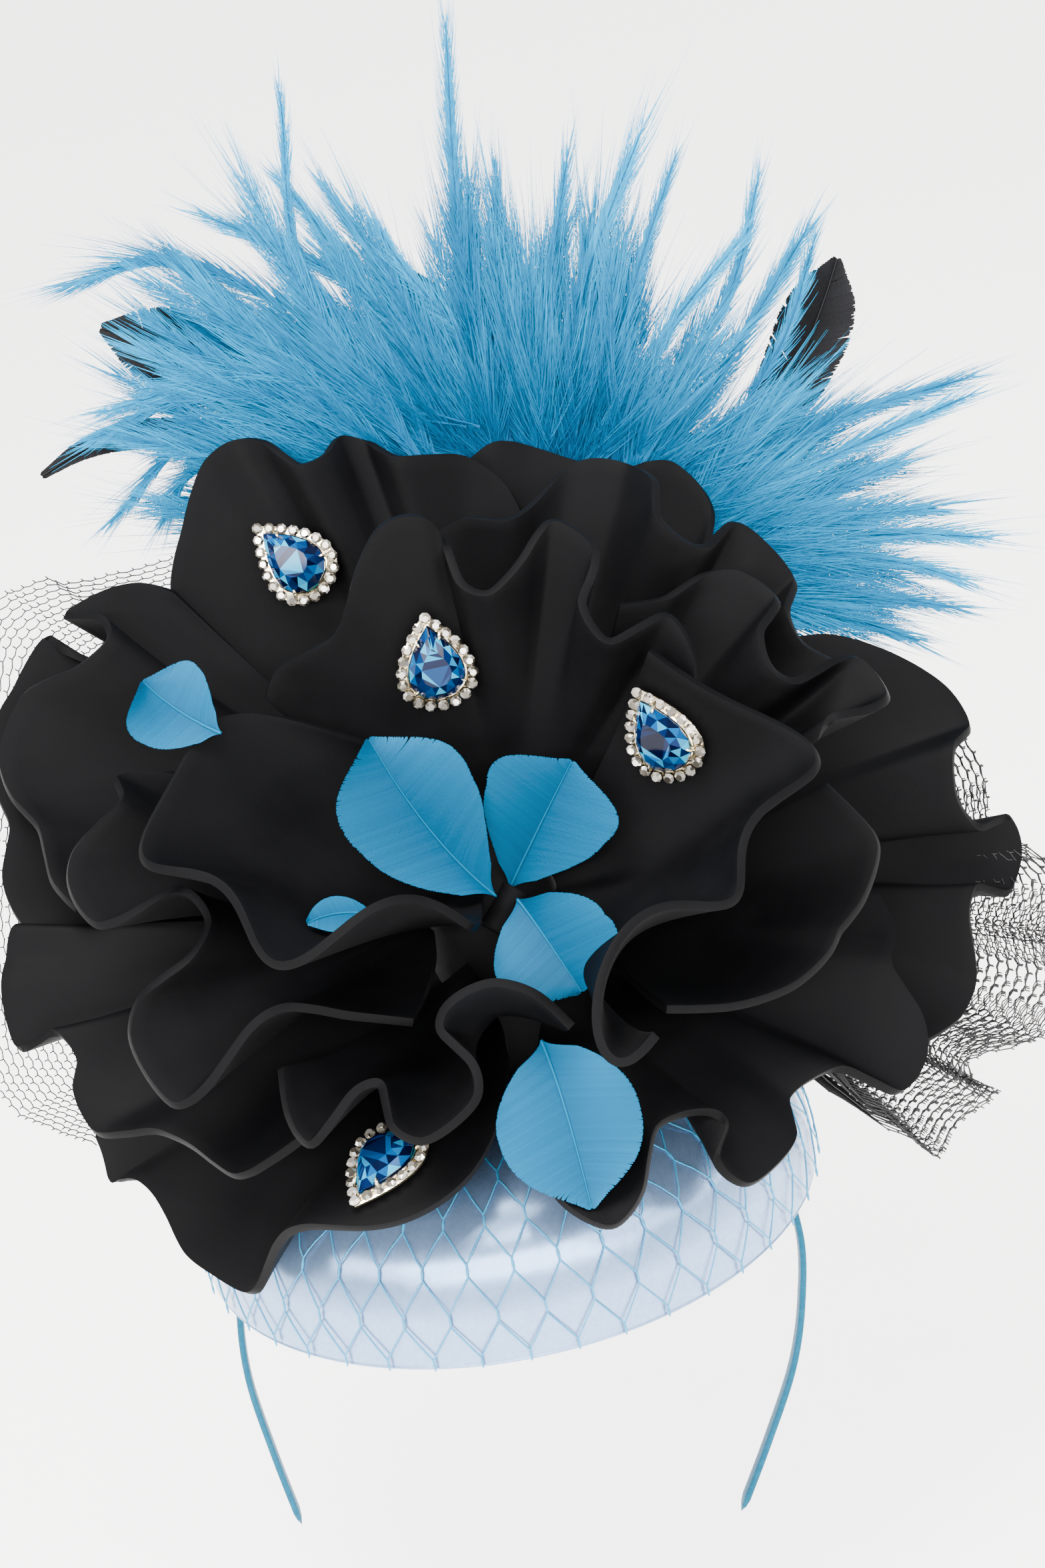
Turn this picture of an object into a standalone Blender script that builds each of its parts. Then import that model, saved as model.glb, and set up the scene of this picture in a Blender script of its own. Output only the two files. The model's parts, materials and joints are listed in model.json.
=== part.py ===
"""Fascinator: a satin pillbox cap under a diamond veil, on a slim hairband, with a large ruffled foam flower,
drop-shaped brooches, trimmed leaf feathers, a feather plume and two fans of net.

Metres, +Z up. The rim of the cap lies in the plane Z = 0 round the origin, and the front faces -Y.
Petals, leaves and feathers are laid out on sight lines: each row of their tables says where a point is seen
from the front, in picture units, and how many millimetres it stands towards the eye from the cap's centre.
"""

import math
from collections import namedtuple

import bmesh
import bpy
import numpy as np
from mathutils import Matrix, Vector
from mathutils.bvhtree import BVHTree

MM = 0.001

# Cap, veil and hairband
CAP_RADIUS = 0.0767
CAP_HEIGHT = 0.042
CAP_WALL = 0.0022
CAP_STEPS = 24
CAP_PROFILE = ((0.0, 1.0), (0.30, 0.985), (0.56, 0.93), (0.78, 0.82), (0.92, 0.62), (0.985, 0.36), (1.0, 0.12),
               (1.0, 0.0))
VEIL_COLUMNS = 18
VEIL_LEVELS = 5
VEIL_SHARES = (0.05, 0.62)
VEIL_STRAND = 0.0009
VEIL_LIFT = 0.0020
BAND_WIDTH = 0.005
BAND_THICKNESS = 0.0018
BAND_TOP = Vector((0.011, 0.018, 0.037))
# Rows of the band from its top: half span and drop in millimetres.
BAND_ROWS = ((0, 0), (28, 7), (50, 21), (64, 38), (71, 56), (72, 74), (70, 92), (64, 112), (57, 132))
BAND_TILT = math.radians(11)
BAND_LEAN = math.radians(11)
BAND_STEPS = 32

# Foam flower
PETAL_THICKNESS = 0.0020
LEAF_THICKNESS = 0.0010
FEATHER_THICKNESS = 0.0010
NET_THICKNESS = 0.0010
PETAL_RIBS = 2
LATE_SEATS = ("petal_middle_right", "petal_back_left")
TURN_STEPS = 2
RUFFLE_FADE = 2.6
CORE_MIDDLE = Vector((0.009, 0.0, 0.0))
CORE_TOP = 0.098
CORE_PROFILE = ((0.0, 1.0), (0.35, 0.97), (0.7, 0.86), (0.9, 0.6), (1.0, 0.0))
CORE_RADIUS = 0.020
CORE_STEPS = 16

# Sight frame: where the eye stands when it looks at the front
EYE_DEPTH = 0.700
EYE_RISE = math.radians(21)
EYE_ROLL = math.radians(11)
FOCAL_UNITS = 4200
PICTURE_MIDDLE = (784, 1176)
CAP_CENTRE_SEEN = (766, 1790)
TOWARD = Vector((0, -math.cos(EYE_RISE), math.sin(EYE_RISE)))
LEVEL_UP = Vector((0, math.sin(EYE_RISE), math.cos(EYE_RISE)))
ACROSS = Vector((1, 0, 0)) * math.cos(EYE_ROLL) - LEVEL_UP * math.sin(EYE_ROLL)
UP = Vector((1, 0, 0)) * math.sin(EYE_ROLL) + LEVEL_UP * math.cos(EYE_ROLL)
UNIT_SIZE = EYE_DEPTH / FOCAL_UNITS
EYE = (
    TOWARD * EYE_DEPTH
    - ACROSS * (CAP_CENTRE_SEEN[0] - PICTURE_MIDDLE[0]) * UNIT_SIZE
    - UP * (PICTURE_MIDDLE[1] - CAP_CENTRE_SEEN[1]) * UNIT_SIZE
)
FLOWER_AXIS = Vector((0, -math.sin(math.radians(38)), math.cos(math.radians(38))))

# Seats, and how sheets are laid on each other
SEAT_GAP = 0.0003
UNION_NUDGES = (0.0, 0.00007, -0.00011, 0.00017, -0.00023)
QUILL_WIDTH = 0.0016
BLADE_STATIONS = 7
UNTANGLE_TRIES = 24
SETTLE_STEP = 0.0002
SETTLE_TRIES = 90
BROOCH_PATCH = 0.006
BROOCH_LIFT_STEP = 0.0004
BROOCH_MOST_LIFT = 0.016
SHEET_GAP = 0.0006
LOOK_AHEAD = 0.014
CLEARANCES = ((0.0, 0.0), (0.0005, 0.001), (0.001, 0.002), (0.0015, 0.003), (0.002, 0.004), (0.003, 0.004),
              (0.004, 0.005), (0.006, 0.005), (0.008, 0.006), (0.011, 0.006), (0.015, 0.007))

Sheet = namedtuple("Sheet", "name root_x root_y root_toward root_radius belly_out belly_back turns")

# Rows of turns: seen_x, seen_y, toward_mm. One row for each crest, dip or end of the ruffled edge.
BACK_PETALS = (
    Sheet("petal_back_top", 800, 1250, 14, 12, 0, 4, (
        (690, 705, 6), (738, 664, 8), (790, 668, 6), (860, 690, 6), (930, 705, 8), (975, 692, 12),
        (1012, 694, 12), (1052, 730, 14), (1070, 768, 16), (1062, 812, 18))),
    Sheet("petal_back_left", 690, 1320, 16, 12, 0, 4, (
        (130, 990, 16), (92, 973, 14), (68, 956, 12), (42, 990, 12), (18, 1036, 14), (-10, 1090, 16),
        (-12, 1175, 18), (14, 1240, 22), (3, 1318, 24), (40, 1395, 28), (130, 1436, 34), (220, 1480, 38))),
    Sheet("petal_right", 835, 1300, 16, 14, 0, 4, (
        (1180, 958, 12), (1250, 952, 14), (1340, 980, 16), (1420, 1030, 18), (1456, 1090, 22), (1433, 1120, 30),
        (1436, 1195, 31), (1472, 1241, 26), (1516, 1226, 20), (1533, 1278, 18), (1514, 1339, 22),
        (1468, 1331, 31), (1455, 1378, 31), (1466, 1465, 26), (1440, 1528, 28), (1380, 1568, 32))),
    Sheet("petal_upper_left", 730, 1258, 16, 14, 0, 5, (
        (285, 985, 22), (256, 885, 20), (272, 795, 20), (302, 698, 20), (352, 660, 18), (399, 664, 22),
        (445, 696, 30), (488, 680, 26), (508, 655, 18), (552, 662, 17), (595, 684, 24), (690, 682, 18),
        (757, 724, 16), (788, 780, 16))),
    Sheet("petal_left", 690, 1300, 22, 12, 0, 5, (
        (262, 888, 24), (212, 874, 24), (150, 888, 26), (97, 922, 28), (146, 925, 36),
        (162, 957, 40), (108, 1005, 38), (36, 1040, 34), (-2, 1130, 34), (18, 1198, 38), (57, 1243, 42),
        (76, 1320, 46), (114, 1365, 50))),
    Sheet("petal_bottom_left", 735, 1425, 34, 14, 0, -8, (
        (762, 1600, 62), (755, 1672, 74), (715, 1765, 84), (640, 1820, 88), (550, 1851, 88), (452, 1832, 82),
        (412, 1866, 72), (395, 1928, 62), (372, 1948, 58), (320, 1909, 50), (276, 1886, 44), (256, 1828, 40),
        (206, 1752, 36), (166, 1788, 32), (160, 1742, 34), (143, 1703, 38))),
    Sheet("petal_lower_left", 700, 1390, 32, 12, 0, 0, (
        (62, 1402, 28), (20, 1392, 30), (10, 1440, 32), (3, 1490, 36), (27, 1573, 38), (80, 1549, 44),
        (115, 1590, 46), (110, 1636, 48), (146, 1701, 54), (230, 1697, 62), (290, 1722, 68), (350, 1764, 74),
        (400, 1746, 78), (455, 1708, 80))),
    Sheet("petal_lower_right", 812, 1415, 34, 14, 0, -8, (
        (1318, 1343, 38), (1343, 1396, 42), (1338, 1446, 46), (1381, 1515, 46), (1390, 1582, 46),
        (1348, 1639, 50), (1262, 1604, 60), (1185, 1648, 62), (1193, 1712, 70), (1126, 1777, 78),
        (1076, 1742, 82), (1091, 1690, 80), (1058, 1668, 80), (986, 1692, 84), (966, 1785, 92),
        (918, 1841, 96), (845, 1806, 94), (800, 1740, 88))),
)
MIDDLE_PETALS = (
    Sheet("petal_middle_top", 795, 1270, 28, 12, 0, 4, (
        (650, 802, 30), (700, 776, 36), (760, 779, 38), (802, 752, 32), (846, 705, 27), (892, 688, 27),
        (948, 698, 30), (983, 722, 42), (987, 772, 48), (1030, 812, 46), (1064, 817, 42), (1102, 783, 32),
        (1150, 814, 32), (1193, 870, 32), (1182, 912, 42), (1205, 964, 42), (1255, 992, 38))),
    Sheet("petal_middle_right", 822, 1305, 32, 12, 0, 5, (
        (930, 906, 46), (1000, 896, 46), (1056, 861, 42), (1112, 857, 42), (1167, 900, 46), (1142, 944, 56),
        (1155, 998, 58), (1195, 1021, 54), (1250, 992, 48), (1294, 989, 46), (1333, 1042, 52),
        (1300, 1065, 58), (1250, 1076, 60), (1228, 1110, 58))),
    Sheet("petal_middle_lower_right", 822, 1352, 38, 12, 0, 6, (
        (1240, 1175, 56), (1300, 1235, 60), (1319, 1277, 62), (1296, 1350, 68), (1262, 1396, 72),
        (1245, 1430, 72), (1190, 1480, 78), (1100, 1510, 84), (1000, 1514, 88))),
    Sheet("petal_middle_left", 700, 1345, 34, 12, 0, 5, (
        (310, 1163, 42), (236, 1158, 42), (174, 1168, 46), (181, 1200, 56), (112, 1272, 58), (104, 1335, 62),
        (145, 1388, 66), (205, 1366, 70), (268, 1333, 70), (312, 1380, 74), (280, 1440, 80), (213, 1493, 82),
        (196, 1565, 84), (256, 1656, 92), (312, 1628, 92), (372, 1546, 90), (430, 1511, 88),
        (520, 1523, 86), (620, 1534, 84))),
    Sheet("petal_middle_bottom", 765, 1412, 46, 12, 4, 6, (
        (858, 1540, 98), (805, 1492, 102), (738, 1474, 102), (676, 1503, 102), (661, 1546, 100),
        (708, 1594, 102), (713, 1652, 104), (640, 1711, 106), (587, 1688, 104), (571, 1627, 98),
        (528, 1642, 98), (468, 1717, 98), (431, 1672, 94), (421, 1602, 88))),
)
INNER_PETALS = (
    Sheet("petal_inner_top", 768, 1290, 36, 10, 0, 8, (
        (398, 1048, 44), (418, 1001, 46), (500, 955, 52), (529, 870, 60), (568, 791, 64), (630, 774, 64),
        (667, 812, 60), (690, 872, 64), (735, 888, 66), (785, 836, 64), (828, 780, 60), (891, 818, 62),
        (886, 868, 64), (874, 908, 68), (916, 962, 72), (1000, 922, 66), (1043, 985, 66), (1045, 1045, 66))),
    Sheet("petal_inner_right", 800, 1335, 42, 6, 6, 8, (
        (975, 975, 64), (1040, 1036, 68), (1112, 1070, 70), (1200, 1081, 70), (1256, 1122, 74),
        (1264, 1182, 80), (1172, 1172, 88), (1080, 1222, 92), (1098, 1296, 90), (1147, 1350, 90),
        (1104, 1388, 96), (1040, 1358, 100), (972, 1314, 102), (906, 1388, 106), (852, 1528, 112),
        (892, 1637, 118), (960, 1634, 116), (985, 1552, 112))),
    Sheet("petal_inner_left", 752, 1322, 42, 5, 6, 8, (
        (550, 1114, 46), (450, 1068, 50), (350, 1047, 54), (268, 1068, 56), (309, 1118, 66), (256, 1200, 72),
        (178, 1256, 76), (186, 1326, 82), (240, 1322, 86), (332, 1268, 88), (392, 1338, 92), (352, 1440, 98),
        (404, 1505, 104), (482, 1452, 106), (522, 1358, 106), (598, 1310, 104), (660, 1342, 96),
        (708, 1392, 90))),
)
Leaf = namedtuple("Leaf", "name base bend tip breadth fullest bare cup")

# Rows of leaves and black feathers: base, bend and tip as seen_x, seen_y, toward_mm, then the breadth in
# millimetres, the share of the blade where it is fullest, the share that is bare quill, and the fold in degrees.
LEAVES = (
    Leaf("leaf_feather_left", (745, 1345, 46), (640, 1262, 52), (553, 1108, 60), 31, 0.62, 0.0, 20),
    Leaf("leaf_feather_right", (764, 1334, 48), (808, 1240, 56), (858, 1142, 64), 30, 0.62, 0.0, 20),
    Leaf("leaf_feather_low", (776, 1348, 54), (808, 1390, 58), (850, 1455, 64), 22, 0.55, 0.0, 20),
    Leaf("leaf_feather_bottom", (812, 1560, 80), (846, 1640, 86), (888, 1812, 90), 34, 0.56, 0.0, 16),
    Leaf("leaf_feather_far_left", (332, 1100, 44), (262, 1070, 46), (214, 1022, 48), 22, 0.6, 0.0, 10),
    Leaf("leaf_feather_small", (560, 1372, 70), (505, 1362, 70), (462, 1384, 70), 8, 0.55, 0.0, 10),
)
BLACK_FEATHERS = (
    Leaf("black_feather_left", (640, 740, -10), (400, 560, -20), (152, 492, -26), 16, 0.55, 0.30, 8),
    Leaf("black_feather_far_left", (560, 780, -10), (250, 560, -16), (64, 714, -18), 8, 0.5, 0.10, 8),
    Leaf("black_feather_back", (870, 770, -10), (700, 440, -24), (556, 386, -26), 8, 0.4, 0.05, 8),
    Leaf("black_feather_right", (1020, 830, -10), (1190, 620, -22), (1256, 388, -28), 17, 0.55, 0.30, 8),
)
NETS = (
    Sheet("net_right", 900, 1330, 6, 26, 0, 0, (
        (1420, 1060, 6), (1478, 1150, 10), (1492, 1240, 4), (1600, 1320, 10), (1572, 1400, 2), (1610, 1470, 10),
        (1558, 1560, 2), (1452, 1596, 12), (1500, 1640, 4), (1440, 1690, 12), (1394, 1730, 6),
        (1210, 1600, 10))),
    Sheet("net_left", 660, 1320, -4, 26, 0, 0, (
        (262, 830, -4), (150, 862, -8), (40, 872, 0), (-40, 930, -8), (-62, 1080, 0), (-48, 1230, -8),
        (-66, 1370, 0), (-40, 1520, -8), (-8, 1640, 0), (60, 1690, -6), (140, 1722, 0))),
)

# Brooches: seen_x, seen_y of the middle, turn_deg of the point of the drop from straight up, and its petal.
BROOCHES = (
    (443, 837, 48, "petal_upper_left"),
    (650, 984, 12, "petal_inner_top"),
    (993, 1096, 20, "petal_inner_right"),
    (577, 1757, 172, "petal_bottom_left"),
)
STONE_SIZE = (0.0130, 0.0180)
STONE_CORNERS = 12
STONE_RINGS = ((1.0, 0.0), (1.0, 0.0012), (0.55, 0.0044))
SETTING_SIZE = (0.0178, 0.0234)
HALO_SIZE = (0.0166, 0.0220)
HALO_STONES = 12
HALO_RADIUS = 0.00135
HALO_CORNERS = 6
HALO_SECTIONS = ((1.0, -0.0004), (0.6, 0.0016))
PLATE_THICKNESS = 0.0012

# Plume: quills start on the core, cross the line where the locks part, and fan out. Each lock has its tip as
# seen_x, seen_y, toward_mm, its breadth in millimetres and how deep the notch after it cuts, as a share.
PLUME_ROOT = (790, 1235, 6)
PLUME_ROOT_WIDTH = 26
PLUME_LINE = ((420, 830, 14), (560, 730, 12), (760, 700, 4), (960, 760, 6), (1090, 870, 10), (1150, 990, 12))
PLUME_THICKNESS = 0.0024
PLUME_SHOULDER = 0.66
PLUME_MOST_BREADTH = 0.36
Lock = namedtuple("Lock", "tip_x tip_y toward breadth notch")
LOCKS = (
    Lock(172, 790, 8, 9, 0.5), Lock(140, 655, 2, 11, 0.4), Lock(110, 432, -8, 13, 0.35), Lock(285, 330, -6, 16, 0.5),
    Lock(412, 140, -6, 13, 0.45), Lock(590, 330, -4, 14, 0.4), Lock(668, 30, 0, 13, 0.3),
    Lock(740, 240, -2, 11, 0.5), Lock(850, 226, -6, 14, 0.5), Lock(955, 190, -4, 17, 0.45),
    Lock(1138, 262, -8, 13, 0.45), Lock(1222, 342, -8, 15, 0.35), Lock(1250, 560, -2, 13, 0.6),
    Lock(1462, 570, -6, 15, 0.4), Lock(1490, 810, -6, 14, 0.5),
    Lock(1400, 945, -2, 11, 0.6),
)

COLOURS = {
    "foam": ((0.012, 0.012, 0.014), 0.85, 0.0), "satin": ((0.55, 0.68, 0.80), 0.35, 0.0),
    "veil": ((0.12, 0.52, 0.72), 0.6, 0.0), "ribbon": ((0.06, 0.45, 0.60), 0.4, 0.0),
    "leaf": ((0.01, 0.33, 0.58), 0.55, 0.0), "plume": ((0.01, 0.42, 0.75), 0.7, 0.0),
    "black_feather": ((0.02, 0.02, 0.022), 0.5, 0.0), "net": ((0.015, 0.015, 0.018), 0.6, 0.0),
    "stone": ((0.01, 0.18, 0.50), 0.05, 0.0), "gilt": ((0.85, 0.78, 0.60), 0.2, 0.8),
}


def clear_scene():
    for item in list(bpy.data.objects):
        bpy.data.objects.remove(item)


def material(name):
    made = bpy.data.materials.get(name)
    if made is None:
        made = bpy.data.materials.new(name)
        made.use_nodes = True
        colour, roughness, metallic = COLOURS[name]
        shader = made.node_tree.nodes["Principled BSDF"]
        shader.inputs["Base Color"].default_value = (*colour, 1)
        shader.inputs["Roughness"].default_value = roughness
        shader.inputs["Metallic"].default_value = metallic
    return made


def add_object(name, mesh, finish, collection):
    made = bpy.data.objects.new(name, mesh)
    mesh.materials.append(material(finish))
    collection.objects.link(made)
    return made


def evaluated_copy(item):
    """A plain mesh of the object with its modifiers applied."""
    bpy.context.view_layer.update()
    graph = bpy.context.evaluated_depsgraph_get()
    return bpy.data.meshes.new_from_object(item.evaluated_get(graph))


def tree_of(item):
    mesh = evaluated_copy(item)
    made = bmesh.new()
    made.from_mesh(mesh)
    bmesh.ops.transform(made, matrix=item.matrix_world, verts=made.verts)
    tree = BVHTree.FromBMesh(made)
    made.free()
    bpy.data.meshes.remove(mesh)
    return tree


def sight_point(seen_x, seen_y, toward_mm):
    depth = EYE_DEPTH - toward_mm * MM
    across = (seen_x - PICTURE_MIDDLE[0]) / FOCAL_UNITS * depth
    up = (PICTURE_MIDDLE[1] - seen_y) / FOCAL_UNITS * depth
    return EYE + ACROSS * across + UP * up - TOWARD * depth


def nearer(point, step):
    """The point moved along its sight line until it stands that much nearer the eye."""
    depth = (EYE - point).dot(TOWARD)
    return point + (EYE - point) * (step / depth)


def smooth_curve(points, shares):
    """Points of a rounded curve through the given ones, at shares from 0 to 1 counted by the row."""
    ends = [points[0] * 2 - points[1], *points, points[-1] * 2 - points[-2]]
    found = []
    for share in shares:
        place = min(share * (len(points) - 1), len(points) - 1 - 1e-9)
        first = int(place)
        part = place - first
        before, start, end, after = ends[first:first + 4]
        found.append(
            start
            + (end - before) * (0.5 * part)
            + (before * 2 - start * 5 + end * 4 - after) * (0.5 * part ** 2)
            + (start * 3 - before - end * 3 + after) * (0.5 * part ** 3)
        )
    return found


def sheet_grid(sheet, columns, ribs):
    """Points of the sheet, by column along its edge and by rib step from root to edge."""
    turns = [sight_point(*turn) for turn in sheet.turns]
    shares = np.linspace(0, 1, columns + 1)
    edge = np.array([list(point) for point in smooth_curve(turns, shares)])
    calm = np.stack([np.polyval(np.polyfit(shares, edge[:, axis], 4), shares) for axis in range(3)], axis=1)
    root = np.array(sight_point(sheet.root_x, sheet.root_y, sheet.root_toward))
    seen = (calm - root) @ np.array([ACROSS, UP]).T
    turn, first = np.polyfit(shares, np.unwrap(np.arctan2(seen[:, 1], seen[:, 0])), 1)
    angles = first + turn * shares
    arc = np.outer(np.cos(angles), ACROSS) + np.outer(np.sin(angles), UP)
    roots = root + arc * sheet.root_radius * MM
    reach = calm - roots
    axis = np.array(FLOWER_AXIS)
    flat = reach - np.outer(reach @ axis, axis)
    flat /= np.linalg.norm(flat, axis=1)[:, None]
    middle = (roots + calm) / 2 + flat * sheet.belly_out * MM - axis * sheet.belly_back * MM
    grid = np.empty((columns + 1, ribs + 1, 3))
    for step in range(ribs + 1):
        v = (step / ribs) ** 0.8
        grid[:, step] = (1 - v) ** 2 * roots + 2 * v * (1 - v) * middle + v ** 2 * calm
        grid[:, step] += (edge - calm) * v ** RUFFLE_FADE
    return grid


def needed_steps(grid, trees, clearance, reach):
    """How far each point has to come nearer the eye to clear what lies behind it."""
    offsets = [Vector((0, 0, 0))]
    if reach:
        offsets += [ACROSS * math.cos(a) * reach + UP * math.sin(a) * reach for a in np.arange(8) * math.pi / 4]
    steps = np.zeros(grid.shape[:2])
    for index in np.ndindex(*steps.shape):
        point = Vector(grid[index])
        for offset in offsets:
            start = nearer(point + offset, LOOK_AHEAD)
            away = (start - EYE).normalized()
            for tree in trees:
                hit = tree.ray_cast(start, away)[0]
                if hit is not None:
                    step = (hit - point).dot(TOWARD) + clearance
                    steps[index] = max(steps[index], step)
    return steps


def softened(steps):
    """The same steps with their neighbours raised, so that a sheet bends smoothly over what it clears."""
    least = steps.copy()
    least[:, 0] = least[:, 0].max()
    soft = least.copy()
    for _ in range(10):
        wide = np.pad(soft, 1, mode="edge")
        mean = (wide[:-2, 1:-1] + wide[2:, 1:-1] + wide[1:-1, :-2] + wide[1:-1, 2:] + wide[1:-1, 1:-1]) / 5
        soft = np.maximum(least, mean)
    return soft


def moved(grid, steps):
    placed = np.empty_like(grid)
    for index in np.ndindex(*steps.shape):
        placed[index] = nearer(Vector(grid[index]), steps[index])
    return placed


def grid_mesh(name, grid):
    columns, ribs = grid.shape[0] - 1, grid.shape[1] - 1
    made = bmesh.new()
    bmesh.ops.create_grid(made, x_segments=columns, y_segments=ribs, size=1)
    for vertex in made.verts:
        column = round((vertex.co.x + 1) / 2 * columns)
        rib = round((vertex.co.y + 1) / 2 * ribs)
        vertex.co = grid[column, rib]
    bmesh.ops.recalc_face_normals(made, faces=made.faces)
    mesh = bpy.data.meshes.new(name)
    made.to_mesh(mesh)
    made.free()
    return mesh


def lay(name, grid, finish, thickness, trees, collection):
    """Adds a sheet in front of what is already there, as close to it as it fits."""
    made = add_object(name, grid_mesh(name, grid), finish, collection)
    skin = made.modifiers.new("thickness", "SOLIDIFY")
    skin.offset = 0
    for clearance, reach in CLEARANCES:
        steps = softened(needed_steps(grid, trees.values(), thickness / 2 + SHEET_GAP + clearance, reach))
        placed = moved(grid, steps)
        skin.thickness = thickness + SHEET_GAP
        for attempt in range(UNTANGLE_TRIES):
            old = made.data
            made.data = grid_mesh(name, placed)
            made.data.materials.append(material(finish))
            bpy.data.meshes.remove(old)
            if not cuts_itself(made):
                break
            rows = slice(None) if finish == "foam" and attempt > UNTANGLE_TRIES / 2 else slice(None, -1)
            placed[1:-1, rows] = (placed[:-2, rows] + placed[1:-1, rows] * 2 + placed[2:, rows]) / 4
        tree = tree_of(made)
        if not any(tree.overlap(other) for other in trees.values()):
            break
    skin.thickness = thickness
    made.data.shade_smooth()
    made.data.set_sharp_from_angle(angle=math.radians(50))
    settle(made, trees, -SETTLE_STEP)
    return made


def settle(made, trees, step):
    """Moves a sheet along the sight lines, towards the eye or away, until it lies a seat's gap from something."""
    skin = made.modifiers["thickness"]
    skin.thickness += 2 * SEAT_GAP
    others = [tree for name, tree in trees.items() if name != made.name]
    start = made.data.copy()
    touches = False
    for _ in range(SETTLE_TRIES):
        before = made.data.copy()
        for vertex in made.data.vertices:
            vertex.co = nearer(vertex.co, step)
        tree = tree_of(made)
        touches = any(tree.overlap(other) for other in others)
        if touches:
            made.data = before
            break
    if not touches:
        made.data = start
    skin.thickness -= 2 * SEAT_GAP
    trees[made.name] = tree_of(made)


def cuts_itself(item):
    mesh = evaluated_copy(item)
    made = bmesh.new()
    made.from_mesh(mesh)
    bmesh.ops.triangulate(made, faces=made.faces)
    made.faces.ensure_lookup_table()
    tree = BVHTree.FromBMesh(made)
    corners = [{vertex.index for vertex in face.verts} for face in made.faces]
    found = any(not corners[a] & corners[b] for a, b in tree.overlap(tree))
    made.free()
    bpy.data.meshes.remove(mesh)
    return found


def leaf_grid(leaf, columns, ribs):
    """Points of a leaf or feather, by station along its quill and by step across its blade."""
    base, bend, tip = (sight_point(*place) for place in (leaf.base, leaf.bend, leaf.tip))
    stations = leaf.bare + (1 - leaf.bare) * np.linspace(0, 1, columns)
    stations = np.concatenate([[0.0], stations]) if leaf.bare else stations
    power = math.log(0.5) / math.log(leaf.fullest)
    grid = np.empty((len(stations), ribs + 1, 3))
    for index, u in enumerate(stations):
        middle = base * (1 - u) ** 2 + bend * (2 * u * (1 - u)) + tip * u ** 2
        along = ((bend - base) * (1 - u) + (tip - bend) * u).normalized()
        side = along.cross(TOWARD).normalized()
        blade = max(u - leaf.bare, 0) / (1 - leaf.bare)
        half = max(leaf.breadth * MM / 2 * math.sin(math.pi * blade ** power) ** 0.7, QUILL_WIDTH / 2)
        for step in range(ribs + 1):
            across = (2 * step / ribs - 1) * half
            fold = abs(across) * math.tan(math.radians(leaf.cup))
            grid[index, step] = middle + side * across + TOWARD * fold
    return grid


def make_cap(collection):
    profile = bpy.data.meshes.new("cap")
    outline = [(CAP_RADIUS * r, 0, CAP_HEIGHT * h) for r, h in CAP_PROFILE]
    profile.from_pydata(outline, [(i, i + 1) for i in range(len(outline) - 1)], [])
    cap = add_object("cap", profile, "satin", collection)
    spin(cap, CAP_STEPS)
    wall = cap.modifiers.new("wall", "SOLIDIFY")
    wall.thickness = CAP_WALL
    wall.offset = -1
    return cap


def spin(item, steps):
    turn = item.modifiers.new("turn", "SCREW")
    turn.steps = turn.render_steps = steps
    turn.use_merge_vertices = True
    turn.merge_threshold = 0.00005
    turn.use_smooth_shade = True


def cap_surface(share, angle, lift):
    """A point at a share of the way from the rim to the crown, lifted off the cap's outer face."""
    outline = [Vector((CAP_RADIUS * r, 0, CAP_HEIGHT * h)) for r, h in reversed(CAP_PROFILE)]
    lengths = np.cumsum([0.0] + [(b - a).length for a, b in zip(outline, outline[1:])])
    place = share * lengths[-1]
    first = min(int(np.searchsorted(lengths, place, side="right")) - 1, len(outline) - 2)
    start, end = outline[first], outline[first + 1]
    along = (end - start).normalized()
    point = start + along * (place - lengths[first]) + Vector((along.z, 0, -along.x)) * lift
    return Matrix.Rotation(angle, 3, "Z") @ point


def make_veil(collection):
    """A diamond net round the side and shoulder of the cap, its crossings joined."""
    made = bmesh.new()
    rows = []
    for level in range(VEIL_LEVELS + 1):
        share = VEIL_SHARES[0] + (VEIL_SHARES[1] - VEIL_SHARES[0]) * level / VEIL_LEVELS
        angles = [(column + level / 2) / VEIL_COLUMNS * math.tau for column in range(VEIL_COLUMNS)]
        rows.append([made.verts.new(cap_surface(share, angle, VEIL_LIFT)) for angle in angles])
    for lower, middle, upper in zip(rows, rows[1:], rows[2:]):
        for column in range(VEIL_COLUMNS):
            before = (column - 1) % VEIL_COLUMNS
            made.faces.new((lower[column], middle[column], upper[before], middle[before]))
    mesh = bpy.data.meshes.new("veil")
    made.to_mesh(mesh)
    made.free()
    veil = add_object("veil", mesh, "veil", collection)
    strands = veil.modifiers.new("strands", "WIREFRAME")
    strands.thickness = VEIL_STRAND
    strands.use_even_offset = False
    strands.use_boundary = True
    return veil


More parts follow.
